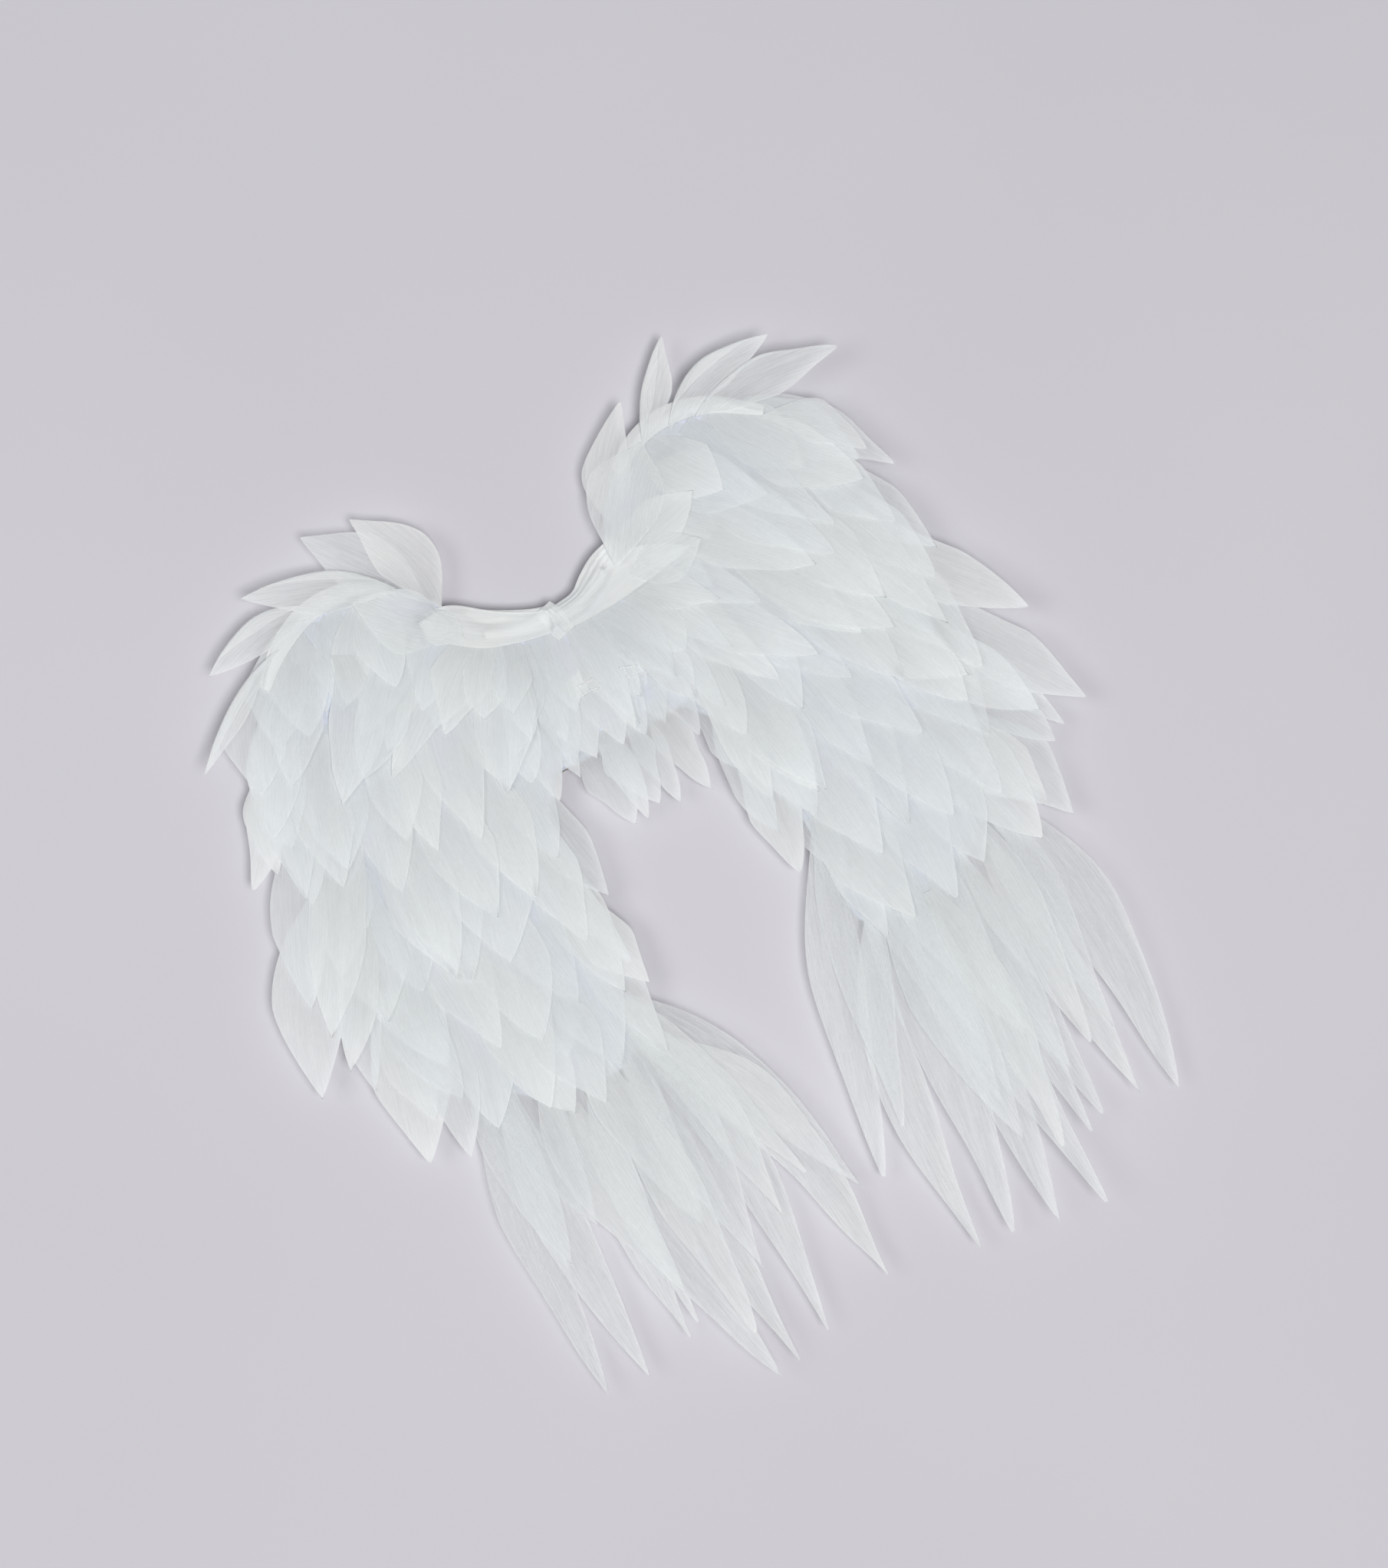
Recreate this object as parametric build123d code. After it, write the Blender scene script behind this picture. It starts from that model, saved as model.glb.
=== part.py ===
"""Costume wings of organza feathers, sewn in rows on two felt wings that fold on a felt yoke.

Frame, in millimetres: the wings lie flat with their feathers up. +Z points away from the wearer's
back, +Y towards the neck, +X to the right. The origin is the middle of the back pad's lower face.

Each feather is a flat leaf, sewn at its root. It lies on the feathers sewn before it, so the rows
overlap like shingles, from the primaries at the bottom to the leading edge on top.
"""

from build123d import *
import math
import os

os.makedirs("parts", exist_ok=True)

# Driving dimensions
FOLD_X = 45.0            # fold line of each wing, each side of the middle
FOLD_Z = 3.4             # height of the fold lines, in the felt
HALF_GAP = 2.0           # from the fold line to the felt on each side of it
WIRE_R = 1.2             # frame wire
WIRE_Z = 1.55            # height of its middle
WIRE_INSET = 5.0         # wire's middle inside the felt's edge
SLEEVE = (7.0, 0.3)      # crimp sleeve: length and wall
FELT = 0.8               # felt of the yoke and wings
FELT_Z = 3.1
FELT_TOP = FELT_Z + FELT
TAPE = 0.3               # sewing tape under each row's roots
TAPE_WIDTH = 7.0
LEAF = 0.28              # thickness of one feather
PITCH = 0.62             # height from one feather to the next one over it
FIRST_Z = FELT_TOP + TAPE + 0.2
FLOOR_Z = 0.6            # lowest height of a drooping tip
MAX_RISE = 0.085         # steepest slope of a feather
MARGIN = 0.8             # room beside a feather where others still count as over it
PAD_SIZE = (58.0, 72.0)
PAD_Y = 24.0             # middle of the pad
PAD_COVER = 0.6          # cloth cover of the pad's foam
PAD_T = 3.0
YOKE_LOW_Y = -22.0
NECK_DIP_Y = 73.0        # lowest point of the neck edge
NECK_SIDE_Y = 82.0       # neck edge at the fold lines
BINDING = (13.0, 5.0)    # neck binding: width and height
STRAP_WIDTH = 14.0
STRAP_T = 1.1
STRAP_Z = 0.3
STRAP_X = 40.5           # line that each strap loop swings about
STRAP_REACH = 120.0
STRAP_Y = (3.0, 51.0)    # middles of the strap's two runs
TAB = (8.5, 2.0)         # webbing tab that holds a strap's end: length and thickness
TACK = (1.2, 0.35)       # bar tack: width and height

# Outline of the right felt wing, and how round its corners are
WING_OUTLINE = [
    (47, 84), (62, 112), (88, 138), (120, 146), (156, 140), (182, 120), (198, 84), (206, 30),
    (207, -60), (199, -125), (180, -178), (150, -204), (94, -208), (79, -196), (80, -130),
    (74, -70), (60, -38), (47, -24),
]
WING_ROUND = 7.0

# Sewing plan. A feather is (root x, root y, tip x, tip y, width). Rows are listed from the bottom
# layer to the top one, and the feathers of a row in the order in which they are sewn.
RIGHT_ROWS = {
    "lower_primaries": [
        (72, -132, 16, -350, 40), (80, -205, 48, -418, 34), (205, -165, 210, -390, 40),
        (93, -165, 72, -420, 42), (187, -185, 186, -380, 32), (113, -195, 101, -428, 36),
        (157, -190, 158, -380, 30), (135, -195, 133, -430, 38), (150, -198, 146, -386, 28),
    ],
    "upper_primaries": [
        (99, -150, 104, -345, 34), (118, -165, 106, -371, 44), (186, -150, 191, -335, 32),
        (128, -202, 126, -386, 28), (166, -150, 173, -336, 38), (146, -165, 154, -345, 42),
        (108, -130, 112, -300, 36), (132, -140, 138, -310, 40),
    ],
    "tertials": [
        (82, -105, 88, -168, 28), (89, -125, 91, -214, 28), (205, -115, 234, -205, 38),
        (108, -105, 112, -214, 42), (188, -110, 222, -190, 38), (136, -105, 142, -216, 44),
        (180, -95, 209, -208, 46), (158, -95, 168, -205, 44),
    ],
    "secondaries": [
        (64, -46, 61, -124, 24), (80, -56, 88, -122, 30), (218, -70, 256, -149, 26),
        (104, -60, 112, -168, 42), (205, -72, 245, -158, 38), (128, -58, 136, -160, 42),
        (176, -66, 200, -170, 44), (150, -60, 166, -168, 44),
    ],
    "greater_coverts": [
        (61, -20, 65, -79, 27), (70, -12, 76, -96, 28), (92, -16, 104, -106, 36),
        (213, -40, 281, -132, 38), (114, -12, 136, -108, 40), (192, -35, 238, -126, 38),
        (140, -16, 170, -104, 40), (165, -8, 213, -98, 44),
    ],
    "median_coverts": [
        (196, 4, 230, -74, 36), (66, 20, 74, -62, 28), (84, 22, 106, -62, 36), (196, 24, 260, -77, 38),
        (110, 22, 146, -64, 40), (138, 26, 176, -62, 40), (166, 34, 214, -62, 40),
    ],
    "lesser_coverts": [
        (192, 56, 226, -22, 34), (64, 48, 76, -30, 26), (78, 52, 104, -24, 32), (60, 50, 132, -32, 32),
        (195, 80, 233, -6, 30), (100, 56, 152, -30, 36), (124, 62, 174, -24, 36),
        (172, 70, 210, -30, 36), (150, 66, 192, -20, 36),
    ],
    "marginal_coverts": [
        (188, 92, 222, 24, 34), (60, 62, 90, -2, 26), (66, 74, 118, 20, 30), (88, 92, 146, 26, 34),
        (172, 124, 214, 70, 36), (178, 122, 230, 61, 28), (60, 82, 96, 40, 32), (90, 134, 118, 72, 36),
        (118, 142, 150, 78, 38), (148, 138, 186, 84, 38), (64, 98, 108, 64, 34), (112, 112, 166, 34, 36), (160, 128, 206, 58, 36),
        (138, 126, 176, 50, 34), (96, 112, 158, 66, 36),
    ],
    "leading_edge_feathers": [
        (182, 124, 228, 66, 22), (62, 100, 104, 167, 26), (102, 140, 60, 86, 42),
        (104, 136, 147, 192, 25), (142, 136, 242, 132, 27), (124, 138, 207, 160, 27),
        (57, 67, 108, 65, 29),
    ],
}
LEFT_ROWS = {
    "lower_primaries": [
        (-55, -165, 0, -348, 34), (-205, -170, -206, -389, 38), (-58, -195, -12, -407, 40),
        (-176, -195, -177, -391, 34), (-66, -200, -63, -419, 36), (-150, -205, -143, -381, 26),
        (-138, -205, -133, -374, 22), (-94, -205, -88, -427, 34), (-118, -205, -102, -429, 36),
    ],
    "upper_primaries": [
        (-62, -160, -27, -322, 28), (-178, -160, -186, -303, 40), (-66, -180, -53, -338, 34),
        (-136, -180, -132, -352, 50), (-88, -180, -80, -362, 46), (-112, -190, -103, -396, 36),
        (-156, -150, -160, -290, 38), (-104, -150, -100, -320, 42),
    ],
    "tertials": [
        (-178, -108, -186, -206, 42), (-146, -118, -138, -221, 44), (-80, -105, -68, -212, 32), (-208, -88, -236, -205, 46), (-102, -100, -97, -208, 50),
        (-198, -95, -221, -180, 36), (-190, -110, -210, -212, 36), (-130, -100, -125, -186, 42),
        (-165, -98, -150, -210, 52),
    ],
    "secondaries": [
        (-70, -66, -61, -150, 24), (-215, -60, -244, -146, 28), (-86, -60, -74, -168, 40),
        (-112, -56, -102, -160, 42), (-190, -52, -196, -155, 42), (-166, -62, -160, -161, 42),
        (-138, -60, -134, -170, 46),
    ],
    "greater_coverts": [
        (-196, -30, -222, -112, 38), (-62, -24, -54, -110, 36), (-240, -30, -262, -136, 40), (-82, -30, -84, -120, 34),
        (-205, -40, -249, -123, 24), (-182, -16, -186, -100, 40), (-160, -14, -168, -104, 40),
        (-136, -20, -148, -113, 40), (-106, -18, -119, -117, 46),
    ],
    "median_coverts": [
        (-196, 4, -226, -78, 38), (-66, 10, -68, -67, 36), (-218, 20, -256, -85, 40), (-92, 12, -98, -74, 38),
        (-156, 10, -174, -93, 40), (-122, 10, -132, -88, 40), (-182, 14, -236, -86, 36),
    ],
    "lesser_coverts": [
        (-192, 56, -226, -22, 36), (-206, 78, -254, 8, 32), (-211, 66, -229, 5, 24), (-196, 72, -213, -2, 28),
        (-168, 66, -188, -14, 36), (-140, 62, -162, -10, 36), (-112, 60, -138, -8, 36),
        (-66, 60, -80, -19, 36), (-88, 62, -116, -34, 38),
    ],
    "marginal_coverts": [
        (-190, 98, -220, 34, 34), (-112, 138, -128, 78, 36), (-136, 142, -158, 84, 38),
        (-160, 134, -192, 80, 36), (-184, 118, -214, 60, 36), (-56, 84, -104, 40, 34), (-60, 70, -124, 28, 30), (-162, 112, -194, 51, 34),
        (-84, 90, -128, 44, 30), (-136, 104, -170, 38, 36), (-98, 100, -158, 32, 36),
        (-82, 104, -141, 65, 30), (-128, 132, -146, 84, 30), (-152, 134, -171, 78, 36),
        (-106, 132, -143, 82, 32),
    ],
    "leading_edge_feathers": [
        (-66, 116, -119, 189, 36), (-60, 106, -84, 184, 32), (-128, 140, -211, 138, 28),
        (-164, 132, -243, 84, 16), (-80, 130, -170, 172, 28), (-58, 88, -110, 137, 34),
        (-56, 82, -78, 104, 20),
    ],
}
YOKE_ROWS = {
    "fringe_feathers": [
        (-20, -10, -16, -76, 29), (31, -12, 37, -80, 21), (15, -12, 16, -76, 18),
        (-7, -12, -7, -75, 16), (5, -12, 4, -72, 26),
    ],
    "middle_feathers": [
        (-28, 27, -33, -32, 17), (31, 27, 32, -28, 19), (-14, 28, -18, -27, 24),
        (16, 28, 17, -28, 24), (1, 28, 1, -27, 24),
    ],
    "upper_feathers": [
        (-31, 57, -33, 4, 18), (32, 57, 32, 0, 19), (-20, 58, -30, -10, 24), (20, 58, 26, -6, 24),
        (-4, 58, -16, 6, 24), (11, 58, 13, -22, 25),
    ],
}


# Plan geometry of a feather, as an outline of points

def outline(feather, steps=8):
    """Closed outline of a feather in plan with a margin, anticlockwise, from its root."""
    rx, ry, tx, ty, width = feather
    length = math.hypot(tx - rx, ty - ry)
    ux, uy = (tx - rx) / length, (ty - ry) / length
    side = [(s / steps, half_width(s / steps, width) + MARGIN) for s in range(steps)]
    right = [(s, -h) for s, h in side]
    left = [(s, h) for s, h in reversed(side)]
    return [(rx + s * length * ux - h * uy, ry + s * length * uy + h * ux)
            for s, h in right + [(1.0, 0.0)] + left]


def half_width(share, width):
    """Half the feather's width at a share of its length, nearly the arcs of its leaf."""
    root = 0.14 * width
    if share < 0.5:
        return root + (0.5 * width - root) * math.sin(share * math.pi)
    return 0.5 * width * math.sin((1 - share) * math.pi)


def clip(subject, mask):
    """The part of one convex outline inside another, or an empty list."""
    points = subject
    for (ax, ay), (bx, by) in zip(mask, mask[1:] + mask[:1]):
        kept = []
        for (px, py), (qx, qy) in zip(points, points[1:] + points[:1]):
            p_in = (bx - ax) * (py - ay) - (by - ay) * (px - ax)
            q_in = (bx - ax) * (qy - ay) - (by - ay) * (qx - ax)
            if p_in >= 0:
                kept.append((px, py))
            if p_in * q_in < 0:
                t = p_in / (p_in - q_in)
                kept.append((px + t * (qx - px), py + t * (qy - py)))
        points = kept
        if not points:
            return []
    return points


def inside(point, polygon):
    """Whether a point lies in a closed outline of any shape."""
    x, y = point
    crossings = 0
    for (ax, ay), (bx, by) in zip(polygon, polygon[1:] + polygon[:1]):
        if (ay > y) != (by > y) and x < ax + (y - ay) / (by - ay) * (bx - ax):
            crossings += 1
    return crossings % 2 == 1


def along(feather, point):
    """Share of the feather's length at which a point of the plan lies."""
    rx, ry, tx, ty, _ = feather
    dx, dy = tx - rx, ty - ry
    return ((point[0] - rx) * dx + (point[1] - ry) * dy) / (dx * dx + dy * dy)


# Laying the feathers on each other

def lay(feather, laid, felt):
    """Heights of a feather's root and tip, so that it clears the felt and all feathers laid so far."""
    shape = outline(feather)
    needs = [(along(feather, p), FELT_TOP + PITCH / 2) for p in shape if inside(p, felt)]
    for other, other_shape, (low, high) in laid:
        for p in clip(shape, other_shape):
            under = low + (high - low) * along(other, p)
            needs.append((along(feather, p), under + PITCH))
    length = math.hypot(feather[2] - feather[0], feather[3] - feather[1])
    root = FIRST_Z
    while True:
        tip = max([FLOOR_Z] + [(z - root * (1 - s)) / s for s, z in needs if s > 0.02])
        clear = all(root * (1 - s) + tip * s > z - 0.01 for s, z in needs)
        if clear and tip - root < MAX_RISE * length:
            return root, tip
        root += 0.2


def leaf(feather, heights):
    """Solid of one feather: a flat leaf with a blunt root and a pointed tip."""
    rx, ry, tx, ty, width = feather
    low, high = heights
    axis = Vector(tx - rx, ty - ry, high - low)
    across = Vector(-axis.Y, axis.X, 0).normalized()
    plane = Plane(origin=(rx, ry, low), x_dir=axis, z_dir=axis.cross(across))
    root, half, middle = 0.14 * width, 0.5 * width, 0.48 * axis.length
    edges = [
        ThreePointArc((0, root), (middle, half), (axis.length, 0)),
        ThreePointArc((axis.length, 0), (middle, -half), (0, -root)),
        Line((0, -root), (0, root)),
    ]
    face = make_face(edges)
    return extrude(plane * face, amount=LEAF, dir=plane.z_dir)


def mirrored(points):
    return [(-x, y) for x, y in reversed(points)]


def sew(prefix, rows, felt):
    """Lays every row of one body and writes each row as a node. Returns the highest point."""
    laid = []
    for name, row in rows.items():
        solids = []
        for feather in row:
            heights = lay(feather, laid, felt)
            laid.append((feather, outline(feather), heights))
            solids.append(leaf(feather, heights))
        write(f"{prefix}_{name}", solids)
    return max(max(heights) for _, _, heights in laid)


# Frame, felt and tapes

def write(name, solids):
    """One STEP file for a node, of one or more separate solids."""
    export_step(Compound(children=list(solids)), f"parts/{name}.step")


def plate(points, z, thickness, radius=0.0):
    """Flat plate with a closed outline of straight runs and rounded corners."""
    face = make_face(Polyline(*points, close=True))
    if radius:
        face = fillet(face.vertices(), radius)
    return extrude(Pos(0, 0, z) * face, amount=thickness)


def wire_along(points, radius):
    """Round wire at the frame's level, bent in tangent arcs."""
    path = FilletPolyline(*[(x, y, WIRE_Z) for x, y in points], radius=radius)
    section = Plane(origin=path @ 0, z_dir=path % 0) * Circle(WIRE_R)
    return sweep(section, path=path)


def inset(points, distance):
    """Outline moved inwards, corner by corner, for an anticlockwise or clockwise outline alike."""
    area = sum(a[0] * b[1] - b[0] * a[1] for a, b in zip(points, points[1:] + points[:1]))
    turn = 1 if area > 0 else -1
    moved = []
    for a, b, c in zip(points[-1:] + points[:-1], points, points[1:] + points[:1]):
        before = Vector(b[0] - a[0], b[1] - a[1], 0).normalized()
        after = Vector(c[0] - b[0], c[1] - b[1], 0).normalized()
        bisector = Vector(-(before.Y + after.Y), before.X + after.X, 0).normalized() * turn
        spread = bisector.dot(Vector(-after.Y, after.X, 0) * turn)
        moved.append((b[0] + bisector.X * distance / spread, b[1] + bisector.Y * distance / spread))
    return moved


def tape_under(row, felt):
    """Sewing tape on the felt under the roots of a row: flat runs from root to root."""
    roots = [(rx, ry) for rx, ry, *_ in row]
    for a, b in zip(roots, roots[1:]):
        run = Vector(b[0] - a[0], b[1] - a[1], 0)
        middle = ((a[0] + b[0]) / 2, (a[1] + b[1]) / 2)
        if run.length < 6 or not (inside(a, felt) and inside(b, felt)):
            continue
        turn = math.degrees(math.atan2(run.Y, run.X))
        block = Box(run.length - 1.0, TAPE_WIDTH, TAPE, align=(Align.CENTER, Align.CENTER, Align.MIN))
        yield Pos(middle[0], middle[1], FELT_TOP) * Rot(0, 0, turn) * block


def separate(solids):
    """Drops each solid that meets one already kept."""
    kept = []
    for solid in solids:
        if all(solid.distance_to(other) > 0.3 for other in kept):
            kept.append(solid)
    return kept


def wing_frame(prefix, felt, rows, side):
    """Felt, frame wire and sewing tapes of one wing."""
    write(f"{prefix}_wing_felt", [plate(felt, FELT_Z, FELT, WING_ROUND)])
    ring = inset(WING_OUTLINE, WIRE_INSET)
    end_x = FOLD_X + 1.0
    path = [(end_x, ring[0][1])] + ring[1:-1] + [(end_x, ring[-1][1])]
    write(f"{prefix}_wing_wire", [wire_along([(side * x, y) for x, y in path], 9.0)])
    tapes = []
    for name, row in rows.items():
        if name != "leading_edge_feathers":
            tapes.extend(tape_under(sorted(row), felt))
    write(f"{prefix}_row_tapes", separate(tapes))


def strap(side):
    """Elastic loop that lies flat under a wing and swings down about its inner ends."""
    low, high = STRAP_Y
    bend = (high - low) / 2
    start, far = STRAP_X + 0.6, STRAP_REACH - bend - STRAP_WIDTH / 2
    middle = ((start + far) / 2, (low + high) / 2)
    band = Pos(*middle) * Rectangle(far - start, high - low + STRAP_WIDTH)
    band += Pos(far, middle[1]) * Circle(bend + STRAP_WIDTH / 2)
    band -= Pos(*middle) * Rectangle(far - start, high - low - STRAP_WIDTH)
    band -= Pos(far, middle[1]) * Circle(bend - STRAP_WIDTH / 2)
    loop = extrude(Pos(0, 0, STRAP_Z) * band, amount=STRAP_T)
    return loop if side > 0 else mirror(loop, about=Plane.YZ)


def four(solid):
    """Copies of a solid made at the origin, one at each end of both straps."""
    x = STRAP_X - 0.6 - TAB[0] / 2
    return [Pos(side * x, y, 0) * solid for side in (-1, 1) for y in STRAP_Y]


def back_pad():
    """Foam core under the yoke and the cloth cover round it, open at the felt."""
    width, height = PAD_SIZE
    outer = Pos(0, PAD_Y) * RectangleRounded(width, height, 9)
    inner = Pos(0, PAD_Y) * RectangleRounded(width - 2 * PAD_COVER, height - 2 * PAD_COVER, 8)
    cover = extrude(outer, amount=PAD_T)
    cover -= extrude(Pos(0, 0, PAD_COVER) * inner, amount=PAD_T)
    core = extrude(Pos(0, 0, PAD_COVER) * inner, amount=PAD_T - PAD_COVER)
    write("back_pad_cover", [cover])
    write("back_pad_foam", [core])


def neck_edge(drop=0.0):
    """Points of the neck edge from the left fold line to the right one, moved down by a drop."""
    half = FOLD_X - HALF_GAP
    return [(-half, NECK_SIDE_Y - drop), (-20, NECK_DIP_Y - drop), (20, NECK_DIP_Y - drop),
            (half, NECK_SIDE_Y - drop)]


def neck_binding():
    """Folded band on the felt along the neck edge, rounded on top."""
    outline_points = neck_edge() + list(reversed(neck_edge(BINDING[0])))
    band = plate(outline_points, FELT_TOP, BINDING[1])
    top = band.faces().sort_by(Axis.Z)[-1]
    return fillet(top.edges(), 1.8)


def yoke_frame():
    """Felt, pad, wires with their sleeves, neck binding, tape, strap tabs and tacks."""
    half = FOLD_X - HALF_GAP
    write("yoke_felt", [plate(neck_edge() + [(half, YOKE_LOW_Y), (-half, YOKE_LOW_Y)], FELT_Z, FELT)])
    back_pad()
    ring = inset(WING_OUTLINE, WIRE_INSET)
    end = FOLD_X - 1.0
    top, low = ring[0][1], ring[-1][1]
    dip = NECK_DIP_Y - WIRE_INSET
    bridge = [wire_along([(-end, top), (-30, top), (-16, dip), (16, dip), (30, top), (end, top)], 8.0),
              straight_wire(end, low)]
    write("yoke_wires", bridge)
    length, wall = SLEEVE
    sleeve = Cylinder(WIRE_R + wall, length) - Cylinder(WIRE_R, length)
    sleeve = Rot(0, 90, 0) * sleeve
    x = end - 1.0 - length / 2
    write("wire_sleeves", [Pos(s * x, y, WIRE_Z) * sleeve for s in (-1, 1) for y in (top, low)])
    write("neck_binding", [neck_binding()])
    tapes = [Pos(0, y, FELT_TOP) * Box(72, TAPE_WIDTH, TAPE, align=(Align.CENTER, Align.CENTER, Align.MIN))
             for y in (-12.0, 27.0, 53.0)]
    write("yoke_row_tapes", tapes)
    tab = Box(TAB[0], STRAP_WIDTH, TAB[1], align=(Align.CENTER, Align.CENTER, Align.MAX))
    write("strap_tabs", [Pos(0, 0, FELT_Z) * part for part in four(tab)])
    tack = Box(TACK[0], STRAP_WIDTH - 4, TACK[1], align=(Align.CENTER, Align.CENTER, Align.MAX))
    write("strap_tacks", [Pos(0, 0, FELT_Z - TAB[1]) * part for part in four(tack)])


def straight_wire(half, y):
    """Straight wire across the yoke."""
    return Pos(0, y, WIRE_Z) * Rot(0, 90, 0) * Cylinder(WIRE_R, 2 * half)


def main():
    left_felt = mirrored(WING_OUTLINE)
    yoke_felt = [(-43, -22), (43, -22), (43, 82), (-43, 82)]
    yoke_frame()
    write("left_strap", [strap(-1)])
    write("right_strap", [strap(1)])
    wing_frame("right", WING_OUTLINE, RIGHT_ROWS, 1)
    wing_frame("left", left_felt, LEFT_ROWS, -1)
    for prefix, rows, felt in (("right", RIGHT_ROWS, WING_OUTLINE), ("left", LEFT_ROWS, left_felt),
                               ("yoke", YOKE_ROWS, yoke_felt)):
        print(prefix, "feathers lie up to", round(sew(prefix, rows, felt), 1), "mm")


main()
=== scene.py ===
# %% [markdown]
# # Organza wings for a costume
# A pair of dress-up wings is cloth work. Each feather is one leaf of stiff, see-through organza,
# sewn by its root to a felt wing, and every row covers the roots of the row below it.
# The CAD model already says where each feather starts, where its tip lies and how wide it is.
# So this lesson keeps that plan and gives each leaf the curve, the crinkle and the thin, bright
# edge of real organza.

# %% Load the frame
import math
import random

import bpy
import bmesh
import numpy as np
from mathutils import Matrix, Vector, noise
from mathutils.bvhtree import BVHTree


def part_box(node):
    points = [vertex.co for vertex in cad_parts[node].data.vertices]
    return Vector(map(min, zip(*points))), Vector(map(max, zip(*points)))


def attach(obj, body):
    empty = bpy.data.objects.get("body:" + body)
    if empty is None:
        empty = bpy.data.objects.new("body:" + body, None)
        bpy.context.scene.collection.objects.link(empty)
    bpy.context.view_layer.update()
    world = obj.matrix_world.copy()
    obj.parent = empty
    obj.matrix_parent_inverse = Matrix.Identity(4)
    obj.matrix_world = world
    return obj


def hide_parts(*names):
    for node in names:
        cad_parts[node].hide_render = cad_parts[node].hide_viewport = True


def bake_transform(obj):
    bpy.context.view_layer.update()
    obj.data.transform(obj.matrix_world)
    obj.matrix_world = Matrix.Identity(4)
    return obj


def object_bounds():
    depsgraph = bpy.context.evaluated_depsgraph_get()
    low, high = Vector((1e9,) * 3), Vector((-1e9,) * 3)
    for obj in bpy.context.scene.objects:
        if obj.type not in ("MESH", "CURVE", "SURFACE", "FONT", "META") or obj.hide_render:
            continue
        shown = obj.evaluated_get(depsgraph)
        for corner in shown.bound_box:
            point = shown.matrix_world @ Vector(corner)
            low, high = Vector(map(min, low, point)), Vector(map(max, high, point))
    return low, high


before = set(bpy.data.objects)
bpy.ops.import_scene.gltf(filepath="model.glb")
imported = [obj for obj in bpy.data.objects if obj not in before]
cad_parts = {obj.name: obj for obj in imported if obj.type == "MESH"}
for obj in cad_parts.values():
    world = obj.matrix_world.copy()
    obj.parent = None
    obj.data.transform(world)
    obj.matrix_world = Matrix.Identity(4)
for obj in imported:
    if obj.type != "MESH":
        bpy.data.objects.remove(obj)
cad_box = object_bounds()
bpy.ops.object.select_all(action="DESELECT")
MM = 0.001
print("nodes", len(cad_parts), "box", [tuple(round(v, 3) for v in p) for p in cad_box])

# %% [markdown]
# ## Node trees by hand
# A material is a small graph. Writing `nodes.new` again and again hides what it does, so one
# helper adds a node, sets its values and joins its inputs. The rest of the lesson reads like a
# recipe. Numbers that are the same all over a surface are set straight on the shader.

# %% A short way to write a material
def material(name, **fixed):
    mat = bpy.data.materials.new(name)
    mat.use_nodes = True
    shader = mat.node_tree.nodes["Principled BSDF"]
    for key, value in fixed.items():
        shader.inputs[key.replace("_", " ")].default_value = value
    return mat, shader


def node(mat, kind, inputs=None, **settings):
    made = mat.node_tree.nodes.new(kind)
    for key, value in settings.items():
        setattr(made, key, value)
    for key, value in (inputs or {}).items():
        socket = made.inputs[key]
        if isinstance(value, bpy.types.NodeSocket):
            mat.node_tree.links.new(value, socket)
        else:
            socket.default_value = value
    return made


def math_node(mat, operation, *values, clamp=False):
    made = node(mat, "ShaderNodeMath", operation=operation, use_clamp=clamp)
    for socket, value in zip(made.inputs, values):
        if isinstance(value, bpy.types.NodeSocket):
            mat.node_tree.links.new(value, socket)
        else:
            socket.default_value = value
    return made.outputs[0]


def ramp(mat, value, *stops):
    made = node(mat, "ShaderNodeValToRGB", {"Fac": value})
    made.color_ramp.elements[0].position, made.color_ramp.elements[0].color = stops[0]
    made.color_ramp.elements[1].position, made.color_ramp.elements[1].color = stops[-1]
    for position, color in stops[1:-1]:
        made.color_ramp.elements.new(position).color = color
    return made.outputs["Color"]


def link(mat, output, target):
    mat.node_tree.links.new(output, target)


print("helpers ready")

# %% [markdown]
# ## Organza
# Organza is a thin weave of stiff, shiny yarn with gaps between the threads. One layer is half
# see-through, and each further layer makes it whiter. Crinkled organza also has fine, wavy
# lines along its length, and a heat-sealed edge that is a little denser than the rest.
# The pattern has to follow each leaf, so it reads an attribute stored on the mesh: millimetres
# across and along the leaf, and a number of its own. A plain texture in space would run straight
# through all the feathers and give them away as one block.

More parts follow.
